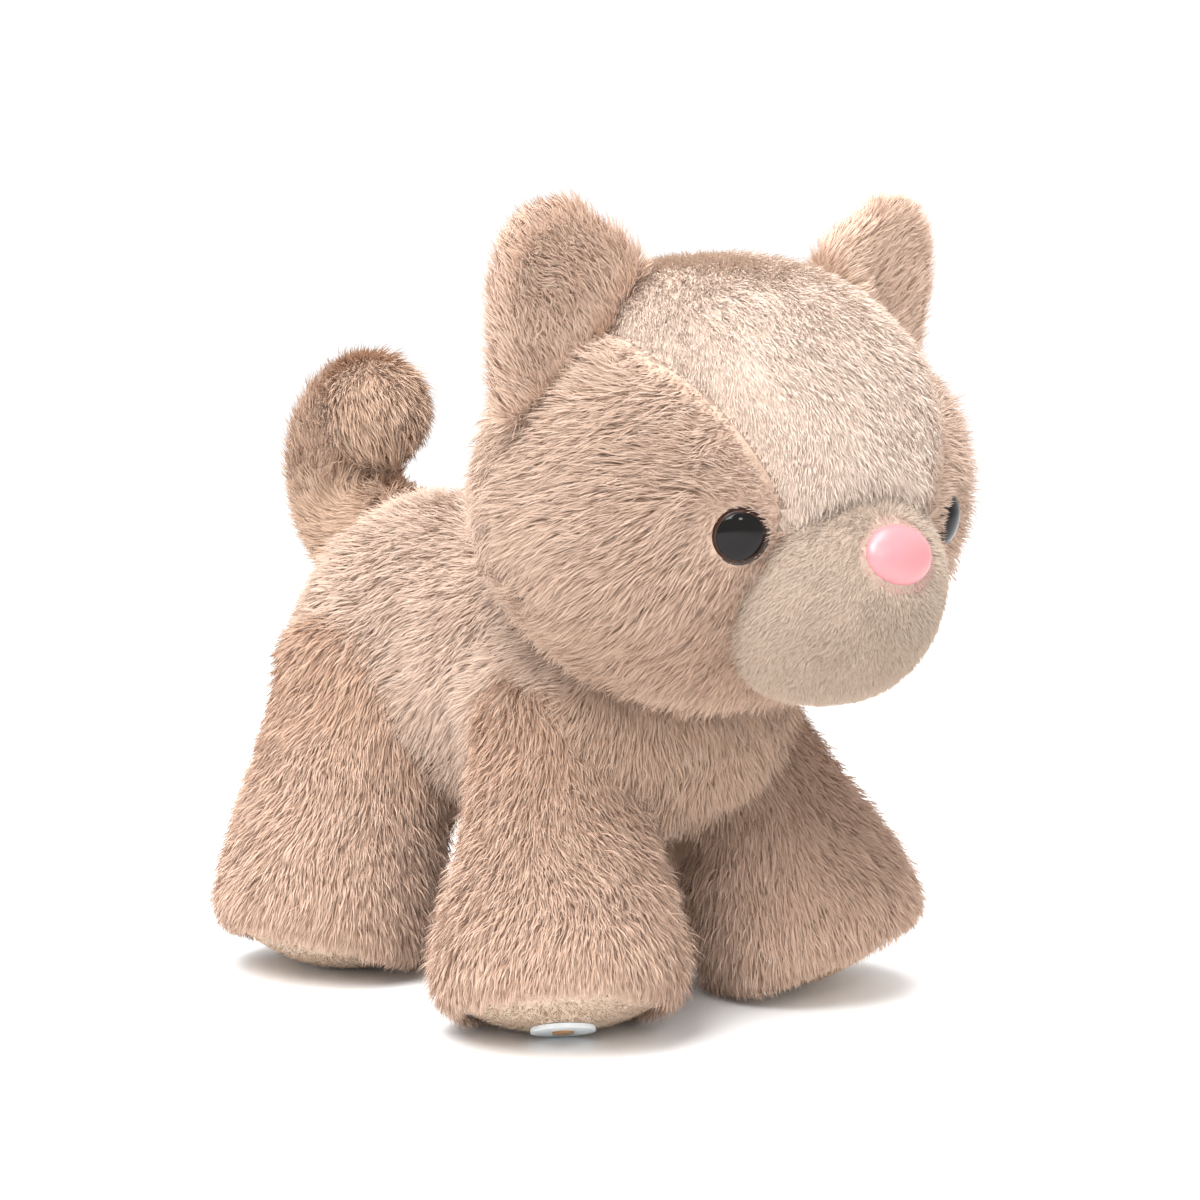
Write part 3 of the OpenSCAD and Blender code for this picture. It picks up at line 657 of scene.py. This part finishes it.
def strand_mesh(name, lines, side, half, taper, slot_of, materials):
    """One mesh of flat tapered strands, each ending in a point, darker at the root with painted shade and lighter
    at the tip with painted light.
    """
    count, rows = lines.shape[:2]
    steps = rows - 1
    per = 2 * steps + 1
    v = np.empty((count, per, 3), np.float32)
    for i in range(steps):
        w = side * (half * taper[i])[:, None]
        v[:, 2 * i] = lines[:, i] - w
        v[:, 2 * i + 1] = lines[:, i] + w
    v[:, -1] = lines[:, -1]
    pattern = []
    for i in range(steps - 1):
        a = 2 * i
        pattern += [(a, a + 1, a + 3), (a, a + 3, a + 2)]
    pattern.append((2 * steps - 2, 2 * steps - 1, 2 * steps))
    pattern = np.array(pattern, np.int32)
    faces = (np.arange(count, dtype=np.int32)[:, None, None] * per + pattern[None]).reshape(-1)
    n = count * len(pattern)
    mesh = bpy.data.meshes.new(name)
    mesh.vertices.add(count * per)
    mesh.vertices.foreach_set("co", v.reshape(-1))
    mesh.loops.add(n * 3)
    mesh.loops.foreach_set("vertex_index", faces)
    mesh.polygons.add(n)
    mesh.polygons.foreach_set("loop_start", np.arange(0, n * 3, 3, dtype=np.int32))
    # Root faces one shade darker (painted shade deep in the pile), tip face one shade lighter (painted light at
    # the tips)
    shade = np.array([-1] * 2 + [0] * (len(pattern) - 3) + [1], np.int32)
    slots = (slot_of[:, None] + shade).clip(0, len(materials) - 1).reshape(-1)
    mesh.polygons.foreach_set("material_index", slots)
    mesh.polygons.foreach_set("use_smooth", np.ones(n, bool))
    mesh.update()
    for material in materials:
        mesh.materials.append(material)
    piece = bpy.data.objects.new(name, mesh)
    bpy.context.scene.collection.objects.link(piece)
    return piece


# ---------------------------------------------------------------- camera, floor, light

def camera():
    azimuth, elevation = radians(-38.8), radians(6.6)
    distance, half_view = 0.780, atan(600 / 2901)
    target = Vector((0, -0.0092, 0.106))
    way = Vector((sin(azimuth) * cos(elevation), -cos(azimuth) * cos(elevation), sin(elevation)))
    cam = bpy.data.objects.new("camera", bpy.data.cameras.new("camera"))
    bpy.context.scene.collection.objects.link(cam)
    cam.location = target + way * distance
    cam.rotation_euler = (-way).to_track_quat("-Z", "Y").to_euler()
    cam.data.sensor_width = 36
    cam.data.lens = 18 / tan(half_view)
    cam.data.clip_start = 0.01
    cam.data.dof.use_dof = False
    bpy.context.scene.camera = cam


def area_light(name, place, target, size, power):
    light = bpy.data.objects.new(name, bpy.data.lights.new(name, "AREA"))
    bpy.context.scene.collection.objects.link(light)
    light.location = place
    light.rotation_euler = (Vector(target) - Vector(place)).to_track_quat("-Z", "Y").to_euler()
    light.data.size = size
    light.data.energy = power


def studio():
    half = 3.0
    floor = mesh_piece("floor", [(-half, -half, 0), (half, -half, 0), (half, half, 0), (-half, half, 0)],
                       [(0, 1, 2, 3)], principled("floor", (0.95, 0.95, 0.95), 0.9, Specular_IOR_Level=0.0))
    world = bpy.data.worlds.new("studio")
    bpy.context.scene.world = world
    world.use_nodes = True
    back = world.node_tree.nodes["Background"]
    back.inputs["Color"].default_value = (1, 1, 1, 1)
    back.inputs["Strength"].default_value = 1.04
    bpy.context.scene.view_settings.view_transform = "Standard"
    area_light("key", (-0.75, -0.35, 1.05), (0, 0, 0.1), 0.7, 20)
    area_light("top", (-0.05, -0.1, 1.35), (0, 0, 0.1), 0.8, 15)
    area_light("window", (-0.30, -0.85, 0.57), (0, 0, 0.13), 0.13, 0.9)


camera()
studio()


# ---------------------------------------------------------------- build: skins

head = skin("head_skin", head_form, 6, LONG_NAP, "head", ["head_plush"])
head.data.materials.append(PALE_NAP)
head.data.materials.append(SEAM_SHADE_NAP)
# Faces on the forehead panel take the pale nap; faces along its seam take the darker seam nap, painted shade in
# the groove
side_of = forehead(np.array([face.center[:] for face in head.data.polygons]))
head.data.polygons.foreach_set(
    "material_index", np.where(np.abs(side_of) < 0.8 * MM, 2, side_of < 0).astype(np.int32))
muzzle = skin("muzzle_skin", muzzle_form, 5, SHORT_NAP, "head", ["muzzle_plush"])
tail = skin("tail_skin", tail_form, 5, LONG_NAP, "tail", ["tail_plush"])
ears = {
    s: skin(f"ear_skin_{s}", lambda u, s=s: ear_form(s, u), 5, LONG_NAP, f"ear_{s[0]}", [f"ear_{s}"])
    for s in SIDES
}
legs, soles = {}, {}
for end in LEG:
    for s in SIDES:
        body = f"leg_{end[0]}{s[0]}"
        legs[end, s] = skin(f"leg_skin_{end}_{s}", lambda u, e=end, s=s: leg_form(e, s, u), 5, LONG_NAP,
                            body, [f"leg_{end}_{s}"])
        v, f = sole_form(end, s)
        sole = mesh_piece(f"sole_skin_{end}_{s}", v, f, SOLE_NAP)
        soles[end, s] = soft(sole, body, [f"sole_{end}_{s}"])

# The body, with the flap under the belly cut out of it
flap_low, flap_high = corners("access_flap")
TAPE_TO_HINGE = 40 * MM
FLAP_X, FLAP_Y0 = flap_high[0], flap_low[1]
FLAP_Y1 = corners("flap_hook_tape")[0][1] + TAPE_TO_HINGE
FLAP_TOP = flap_high[2]
GAP = 0.5 * MM


def cut_body(name, grow, inside):
    """The body's skin with the flap's outline cut in: the part inside it, or the rest."""
    u, faces = unit_ball(6)
    piece = mesh_piece(name, body_form(u), faces, LONG_NAP)
    bm = bmesh.new()
    bm.from_mesh(piece.data)
    edges = [((1, 0, 0), FLAP_X + grow), ((-1, 0, 0), FLAP_X + grow),
             ((0, -1, 0), -(FLAP_Y0 - grow)), ((0, 1, 0), FLAP_Y1 + grow)]
    for n, d in edges:
        geom = bm.verts[:] + bm.edges[:] + bm.faces[:]
        bmesh.ops.bisect_plane(bm, geom=geom, plane_co=Vector(n) * d, plane_no=n, dist=1e-7)
    gone = []
    for face in bm.faces:
        c = face.calc_center_median()
        within = c.z < BODY_Z and all(c.dot(Vector(n)) < d for n, d in edges)
        if within != inside:
            gone.append(face)
    bmesh.ops.delete(bm, geom=gone, context="FACES")
    bm.to_mesh(piece.data)
    bm.free()
    piece.data.update()
    return piece


def close_flap(piece):
    """Gives the flap's skin its side walls and its flat inner face."""
    bm = bmesh.new()
    bm.from_mesh(piece.data)
    rim = [e for e in bm.edges if e.is_boundary]
    wall = bmesh.ops.extrude_edge_only(bm, edges=rim)["geom"]
    for v in wall:
        if isinstance(v, bmesh.types.BMVert):
            v.co.z = FLAP_TOP - 0.4 * MM
    bmesh.ops.holes_fill(bm, edges=[e for e in bm.edges if e.is_boundary], sides=0)
    bmesh.ops.recalc_face_normals(bm, faces=bm.faces[:])
    bm.to_mesh(piece.data)
    bm.free()


torso = soft(cut_body("torso_skin", GAP, False), "torso", ["torso_plush"])
flap = cut_body("flap_skin", -0.2 * MM, True)
close_flap(flap)
soft(flap, "flap", ["access_flap"])


LINING_T = 0.6 * MM


def lining(name, bm):
    piece = bmesh_piece(name, bm, LINING)
    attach(piece, "torso")


def open_box(name, low, high):
    """Thin cloth box, open below."""
    (x0, y0, z0), (x1, y1, z1) = low, high
    t = LINING_T
    bm = bmesh.new()
    outer = [bm.verts.new(c) for c in ((x0, y0, z0), (x1, y0, z0), (x1, y1, z0), (x0, y1, z0),
                                       (x0, y0, z1), (x1, y0, z1), (x1, y1, z1), (x0, y1, z1))]
    inner = [bm.verts.new(c) for c in (
        (x0 + t, y0 + t, z0), (x1 - t, y0 + t, z0), (x1 - t, y1 - t, z0), (x0 + t, y1 - t, z0),
        (x0 + t, y0 + t, z1 - t), (x1 - t, y0 + t, z1 - t), (x1 - t, y1 - t, z1 - t),
        (x0 + t, y1 - t, z1 - t))]
    for i in range(4):
        j = (i + 1) % 4
        bm.faces.new((outer[i], outer[j], outer[4 + j], outer[4 + i]))
        bm.faces.new((inner[j], inner[i], inner[4 + i], inner[4 + j]))
        bm.faces.new((outer[j], outer[i], inner[i], inner[j]))
    bm.faces.new(outer[4:])
    bm.faces.new(list(reversed(inner[4:])))
    lining(name, bm)


def slab_with_opening(name, low, high, hole_low, hole_high):
    """Flat ring of cloth with a rectangular opening."""
    bm = bmesh.new()
    rows = []
    for z in (low[2], high[2]):
        rows.append([bm.verts.new((x, y, z)) for x, y in (
            (low[0], low[1]), (high[0], low[1]), (high[0], high[1]), (low[0], high[1]))])
        rows.append([bm.verts.new((x, y, z)) for x, y in (
            (hole_low[0], hole_low[1]), (hole_high[0], hole_low[1]),
            (hole_high[0], hole_high[1]), (hole_low[0], hole_high[1]))])
    a, b, c, d = rows
    for i in range(4):
        j = (i + 1) % 4
        bm.faces.new((a[i], a[j], b[j], b[i]))
        bm.faces.new((c[j], c[i], d[i], d[j]))
        bm.faces.new((a[j], a[i], c[i], c[j]))
        bm.faces.new((b[i], b[j], d[j], d[i]))
    lining(name, bm)


# Linings of the pouch round the sound module, and of the recess behind the flap
case_low, case_high = corners("module_case_upper")
case_room = 0.45 * MM + LINING_T
open_box("pouch_lining",
         (case_low[0] - case_room, case_low[1] - case_room, FLAP_TOP + 1.7 * MM),
         (case_high[0] + case_room, case_high[1] + case_room, case_high[2] + 1.1 * MM))
slab_with_opening("flap_recess_lining",
                  (-FLAP_X - GAP, FLAP_Y0 - GAP, FLAP_TOP + 0.5 * MM),
                  (FLAP_X + GAP, FLAP_Y1 + GAP, FLAP_TOP + 1.6 * MM),
                  (-17 * MM, 2 * MM), (17 * MM, 33 * MM))

neck_at = (node_points("neck_plush") - HEAD_C) @ NECK_DIR
NECK_END = neck_at.max() - 0.4 * MM
NECK_DISH = HEAD_R[2] + 3.5 * MM
NECK_R = 22.8 * MM


def neck_form(u):
    """Short stuffed collar along the neck's direction, dished where the head sits on it."""
    x, y, z = frame_along(NECK_DIR, (1, 0, 0))
    ring = np.maximum(np.hypot(u[:, 0], u[:, 1]), 1e-9)
    r = NECK_R * clamp(ring * 1.5) ** 0.7
    upper = np.sqrt(NECK_DISH ** 2 - r ** 2)
    h = upper + (NECK_END - upper) * (1 - np.clip(u[:, 2] / 0.74, -1, 1)) / 2
    return HEAD_C + np.outer(u[:, 0] / ring * r, x) + np.outer(u[:, 1] / ring * r, y) + np.outer(h, z)


skin("neck_skin", neck_form, 5, LONG_NAP, "neck", ["neck_plush"])


# ---------------------------------------------------------------- build: pile

DEEP = 5 * MM               # strands deeper than this inside a neighbour are left out
EYE_ROOM = 6.5 * MM         # strands closer than this to an eye's axis are left out
EYES = {}
for s, sign in SIDES.items():
    out = unit([0.49 * sign, -0.86, -0.142])
    pts = node_points(f"eye_{s}")
    EYES[s] = (pts[np.argmax(pts @ out)], out)


def outside(p, *tests):
    """True where a point is outside every form, or only just inside one."""
    ok = np.ones(len(p), bool)
    for test in tests:
        ok &= test(p) > -DEEP
    return ok


def leg_tests():
    return [lambda p, e=e, s=s: in_leg(e, s, p) for e in LEG for s in SIDES]


def from_eye(p):
    """Distance from the nearer eye's axis."""
    d = []
    for top, out in EYES.values():
        q = p - top
        d.append(np.linalg.norm(q - (q @ out)[:, None] * out, axis=1) + 10 * ((p - HEAD_C) @ out < 0))
    return np.minimum(*d)


def in_flap(p):
    along = (p[:, 1] > FLAP_Y0 - GAP) & (p[:, 1] < FLAP_Y1 + GAP)
    return (np.abs(p[:, 0]) < FLAP_X + GAP) & along & (p[:, 2] < BODY_Z)


# Combing directions

def head_flow(p, n):
    away = unit(p - (MUZZLE_C + [0, 0, 6 * MM]))
    return away + [0, 0, -0.55]


def forehead_flow(p, n):
    return np.stack([p[:, 0] / HEAD_R[0] * 0.6, 0 * p[:, 0] - 0.6, 0 * p[:, 0] - 1.0], 1)


def body_flow(p, n):
    return np.tile([0.0, 0.55, -0.75], (len(p), 1))


def tail_flow(p, n):
    along = np.stack([0 * p[:, 0], -(p[:, 2] - TAIL_C[2]), p[:, 1] - TAIL_C[1]], 1) / TAIL_CURL
    near_tip = smooth(np.degrees(np.arctan2(p[:, 2] - TAIL_C[2], p[:, 1] - TAIL_C[1])), 50, 80)[:, None]
    return along * (1 - near_tip) + np.array([0, -0.5, -1.0]) * near_tip


def over_neck(p):
    """True on the part of the head that rests on the neck."""
    q = p - HEAD_C
    along = q @ NECK_DIR
    return (along > 0) & (np.linalg.norm(q - along[:, None] * NECK_DIR, axis=1) < 17 * MM)


def head_length(p):
    """Strands are shorter at the forehead seam, round the muzzle and round the eyes."""
    seam = 0.35 + 0.65 * smooth(forehead(p), 0.5 * MM, 9 * MM)
    crease = 0.55 + 0.45 * smooth(in_muzzle(p), 0, 14 * MM)
    eye = 0.4 + 0.6 * smooth(from_eye(p), 6.5 * MM, 13 * MM)
    return np.minimum(np.minimum(seam, crease), eye)


def face_room(p):
    return outside(p, in_muzzle) & (from_eye(p) > EYE_ROOM)


# Lighter next to the forehead seam, blending into the panel, and darker below the middle of the head: painted
# shade
def head_tone_with_painted_shade(p):
    return 0.3 * np.exp(-(forehead(p) / (7 * MM)) ** 2) - 0.3 * smooth(HEAD_C[2] - p[:, 2], 0, 45 * MM)


pile("head_pile", "head", head, head_flow, HEAD_PILE, 11, scale=head_length, tone=head_tone_with_painted_shade,
     keep=lambda p: (forehead(p) > 0.5 * MM) & face_room(p) & ~over_neck(p))
# The forehead pile is darker towards its seams and lighter along the middle of the panel: painted shade and
# painted light
pile("forehead_pile", "head", head, forehead_flow, SHORT_PILE, 12, length=3.6, width=0.27,
     density=6.3, lift=0.36, tuft=1.4, clump=0.2, steps=2,
     scale=lambda p: 0.55 + 0.45 * smooth(-forehead(p), 0.4 * MM, 5 * MM),
     tone=lambda p: 0.2 - 0.4 * (1 - smooth(-forehead(p), 0, 14 * MM)),
     keep=lambda p: (forehead(p) < -0.5 * MM) & face_room(p))


def around_nose(p):
    """Distance outside the nose button's oval, on the front of the muzzle."""
    q = p - MUZZLE_C
    q = q - (q @ NOSE_DIR)[:, None] * NOSE_DIR
    distance = np.linalg.norm(q * [1, 1.28, 1.28], axis=1) - 10 * MM
    return np.where((p - MUZZLE_C) @ NOSE_DIR > 0, distance, 1)


def muzzle_flow(p, n):
    return unit(p - MUZZLE_C - NOSE_DIR * MUZZLE_R) + [0, 0, -0.4]


def body_tone_with_painted_shade(p):
    """The chest is darker below the head: painted shade under the head."""
    return 0.1 - 0.5 * smooth(-p[:, 1], 20 * MM, 50 * MM) * smooth(BODY_Z + 25 * MM - p[:, 2], 0, 30 * MM)


# The muzzle pile is darker towards its bottom: painted shade
pile("muzzle_pile", "head", muzzle, muzzle_flow, MUZZLE_PILE, 13, length=2.5, width=0.21,
     density=8, lift=0.55, tuft=1.0, clump=0.25, steps=2,
     tone=lambda p: 0.25 - 0.6 * smooth(MUZZLE_C[2] + 12 * MM - p[:, 2], 0, 34 * MM),
     keep=lambda p: (in_head(p) > -3 * MM) & (around_nose(p) >= 1.4 * MM))
# Short pile round the nose button, tinted pink with painted glow from the nose
pile("nose_rim_painted_glow_pile", "head", muzzle, muzzle_flow, PAINTED_NOSE_GLOW_PILE, 41, length=1.2, width=0.2,
     density=9, lift=0.6, tuft=1.0, clump=0.2, steps=2,
     keep=lambda p: (around_nose(p) > -0.6 * MM) & (around_nose(p) < 2.0 * MM))
pile("body_pile", "torso", torso, body_flow, BODY_PILE, 14, tone=body_tone_with_painted_shade,
     keep=lambda p: outside(p, *leg_tests(), in_head, in_tail) & ~in_flap(p))
pile("flap_pile", "flap", flap, body_flow, BODY_PILE, 42, length=6,
     scale=lambda p: 0.35 + 0.65 * smooth(FLAP_Y1 - p[:, 1], 0, 12 * MM),
     keep=lambda p: in_flap(p) & (in_body(p) > -1.5 * MM) & outside(p, *leg_tests()))
pile("tail_pile", "tail", tail, tail_flow, TAIL_PILE, 15, keep=lambda p: outside(p, in_body),
     length=6.3, fall=0)


def ear_pile(side):
    up = EAR_UP * [SIDES[side], 1, 1]
    pile(f"ear_pile_{side}", f"ear_{side[0]}", ears[side], lambda p, n: np.tile(up, (len(p), 1)),
         EAR_PILE, 16, length=5.8, fall=0, keep=lambda p: outside(p, in_head))


def leg_piles(end, side):
    """Long pile down a leg, and short pile on its sole, clear of the contact disc where there is one."""
    hip, d, length = HIPS[end, side], leg_dir(end, side), LEG[end]["length"] * MM
    seam = length - (SOLE_DOME + SOLE_EDGE) * MM
    body = f"leg_{end[0]}{side[0]}"
    disc = CONTACT_ROOM if (end, side) == ("front", "right") else 0

    def down(p):
        return (p - hip) @ d

    # Darker towards the top of the leg, under the body: painted shade
    pile(f"leg_pile_{end}_{side}", body, legs[end, side],
         lambda p, n: np.tile(d, (len(p), 1)) + [0, 0, -0.3],
         LEG_PILE, 17 + 2 * (end == "hind") + (side == "left"),
         tone=lambda p: 0.1 - 0.4 * (1 - smooth(down(p), 0, 40 * MM)),
         scale=lambda p: 1 - 0.35 * smooth(down(p), seam - 9 * MM, seam),
         keep=lambda p: (in_body(p) > -2 * MM) & outside(p, in_head) & (down(p) < seam - 0.5 * MM))
    pile(f"sole_pile_{end}_{side}", body, soles[end, side],
         lambda p, n: unit(p - hip - d * length), SOLE_PILE, 31, length=1.6, width=0.22,
         density=4.5, lift=0.55, tuft=1.0, clump=0.25, steps=2,
         keep=lambda p: np.linalg.norm(np.cross(p - hip, d), axis=1) >= disc)


CONTACT_ROOM = 8.2 * MM
for s in SIDES:
    ear_pile(s)
for end, s in legs:
    leg_piles(end, s)


# ---------------------------------------------------------------- build: hard parts

EYE_R, EYE_RISE = 7.5 * MM, 4.1 * MM
EYE_BLACK = principled("eye_black", (0.004, 0.003, 0.003), 0.04, Specular_IOR_Level=0.2)
detail(EYE_BLACK, ((0.003, 0.002, 0.002), (0.006, 0.004, 0.004)), 60, 0.02, 0.00002)
EYE_BROWN = principled("eye_brown", (0.03, 0.014, 0.010), 0.08, Specular_IOR_Level=0.2)
detail(EYE_BROWN, ((0.022, 0.010, 0.007), (0.045, 0.022, 0.015)), 700, 0.02, 0.00002)
EYE_RIM = principled("eye_rim", (0.04, 0.033, 0.03), 0.3, Specular_IOR_Level=0.3)
detail(EYE_RIM, ((0.03, 0.025, 0.023), (0.055, 0.047, 0.043)), 500, 0.05, 0.00003)
NOSE_PINK = principled("nose_pink", (0.53, 0.20, 0.215), 0.35, Coat_Weight=0.15, Coat_Roughness=0.3,
                       Subsurface_Weight=0.25, Subsurface_Scale=0.004)
detail(NOSE_PINK, ((0.515, 0.19, 0.205), (0.545, 0.21, 0.225)), 90, 0.02, 0.00003)


def eye(side):
    """Black dome with a brown edge, in a dark rim."""
    top, out = EYES[side]
    seat = top - out * EYE_RISE
    r = EYE_R
    arch = [(r * 0.90 * sin(a), 0.6 * MM + 3.5 * MM * cos(a)) for a in np.linspace(pi / 2, 0.02, 22)]
    pupil = [p for p in arch if p[0] < r * 0.8]
    iris = [p for p in arch if p[0] >= r * 0.76] + [(r * 0.72, 1.2 * MM), (r * 0.72, 0.2 * MM)]
    bead = [(r * 0.86, -1 * MM), (r, -0.9 * MM)] + [
        (r - 0.75 * MM + 0.75 * MM * cos(a), 0.3 * MM + 0.8 * MM * sin(a)) for a in np.linspace(0, pi, 9)]
    dome = lathe(f"eye_dome_{side}", seat, out, [(r * 0.78, 0.8 * MM)] + pupil, EYE_BLACK)
    brown = lathe(f"eye_iris_{side}", seat, out, [(r * 0.88, -0.4 * MM)] + iris, EYE_BROWN)
    rim = lathe(f"eye_rim_{side}", seat, out, bead, EYE_RIM)
    for piece in (dome, brown, rim):
        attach(piece, "head")
    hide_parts(f"eye_{side}")


def nose_button():
    """Oval dome with a short skirt."""
    pts = node_points("nose_button")
    tip = (pts @ NOSE_DIR).max()
    x, y, z = np.array([1.0, 0, 0]), np.cross(NOSE_DIR, [1.0, 0, 0]), NOSE_DIR
    centre = MUZZLE_C + NOSE_DIR * (tip - MUZZLE_C @ NOSE_DIR)
    half_w, half_h, rise, skirt = 10.3 * MM, 7.7 * MM, 4.8 * MM, 2.3 * MM
    turns, rows = 96, 16
    verts = [centre]
    for i in range(1, rows + 2):
        a = pi / 2 * min(i / rows, 1)
        drop = rise * (1 - cos(a)) + skirt * (i > rows)
        for j in range(turns):
            t = 2 * pi * j / turns
            verts.append(centre + x * half_w * sin(a) * cos(t) + y * half_h * sin(a) * sin(t) - z * drop)
    back = tuple(reversed(range(1 + rows * turns, 1 + (rows + 1) * turns)))
    piece = mesh_piece("nose_cap", verts, dome_faces(rows + 1, turns) + [back], NOSE_PINK)
    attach(piece, "nose")
    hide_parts("nose_button")


for s in SIDES:
    eye(s)
nose_button()


# ---------------------------------------------------------------- carried-over parts

def finish_of(slot, colour, rough, spread=0.1, scale=400, bump=0.08, distance=0.00005, kind="noise",
              **values):
    mat = principled(f"{slot}_finish", colour, rough, **values)
    return detail(mat, (tint(colour, 1 - spread), tint(colour, 1 + spread)), scale, bump, distance,
                  (max(0.02, rough - 0.06), min(1, rough + 0.08)), kind)


FINISHES = {
    "washer_plastic": finish_of("washer_plastic", (0.80, 0.79, 0.74), 0.45),
    "white_plastic": finish_of("white_plastic", (0.78, 0.84, 0.87), 0.35, 0.05),
    "case_plastic": finish_of("case_plastic", (0.80, 0.79, 0.76), 0.5, 0.04, 1500, 0.15),
    "tape": finish_of("tape", (0.72, 0.64, 0.57), 0.9, 0.2, 2500, 0.8, 0.0004, "cells"),
    "spring_steel": finish_of("spring_steel", (0.62, 0.62, 0.63), 0.3, 0.08, 600, Metallic=1.0),
    "board_green": finish_of("board_green", (0.03, 0.16, 0.06), 0.4, 0.25, 300),
    "black_plastic": finish_of("black_plastic", (0.02, 0.02, 0.022), 0.45, 0.25, 900),
    "led_pink": finish_of("led_pink", (0.95, 0.55, 0.56), 0.15, 0.05, 200, Transmission_Weight=0.3),
    "lead_red": finish_of("lead_red", (0.55, 0.04, 0.03), 0.45, 0.1, 500),
    "lead_grey": finish_of("lead_grey", (0.06, 0.06, 0.065), 0.5, 0.15, 500),
    "cell_sleeve": finish_of("cell_sleeve", (0.05, 0.20, 0.08), 0.3, 0.1, 120, Coat_Weight=0.5),
    "speaker_paper": finish_of("speaker_paper", (0.05, 0.045, 0.04), 0.85, 0.3, 1800, 0.5, 0.0001),
    "magnet_steel": finish_of("magnet_steel", (0.5, 0.5, 0.52), 0.35, 0.1, 700, Metallic=1.0),
    "contact_brass": finish_of("contact_brass", (0.42, 0.22, 0.09), 0.35, 0.12, 500, Metallic=0.7),
}
slots = {row["node"]: row["material_slot"] for row in frame["record"]["subparts"]}
for name, node in frame["nodes"].items():
    finish = FINISHES.get(slots[name])
    if finish and not node.hide_render:
        node.data.materials.clear()
        node.data.materials.append(finish)
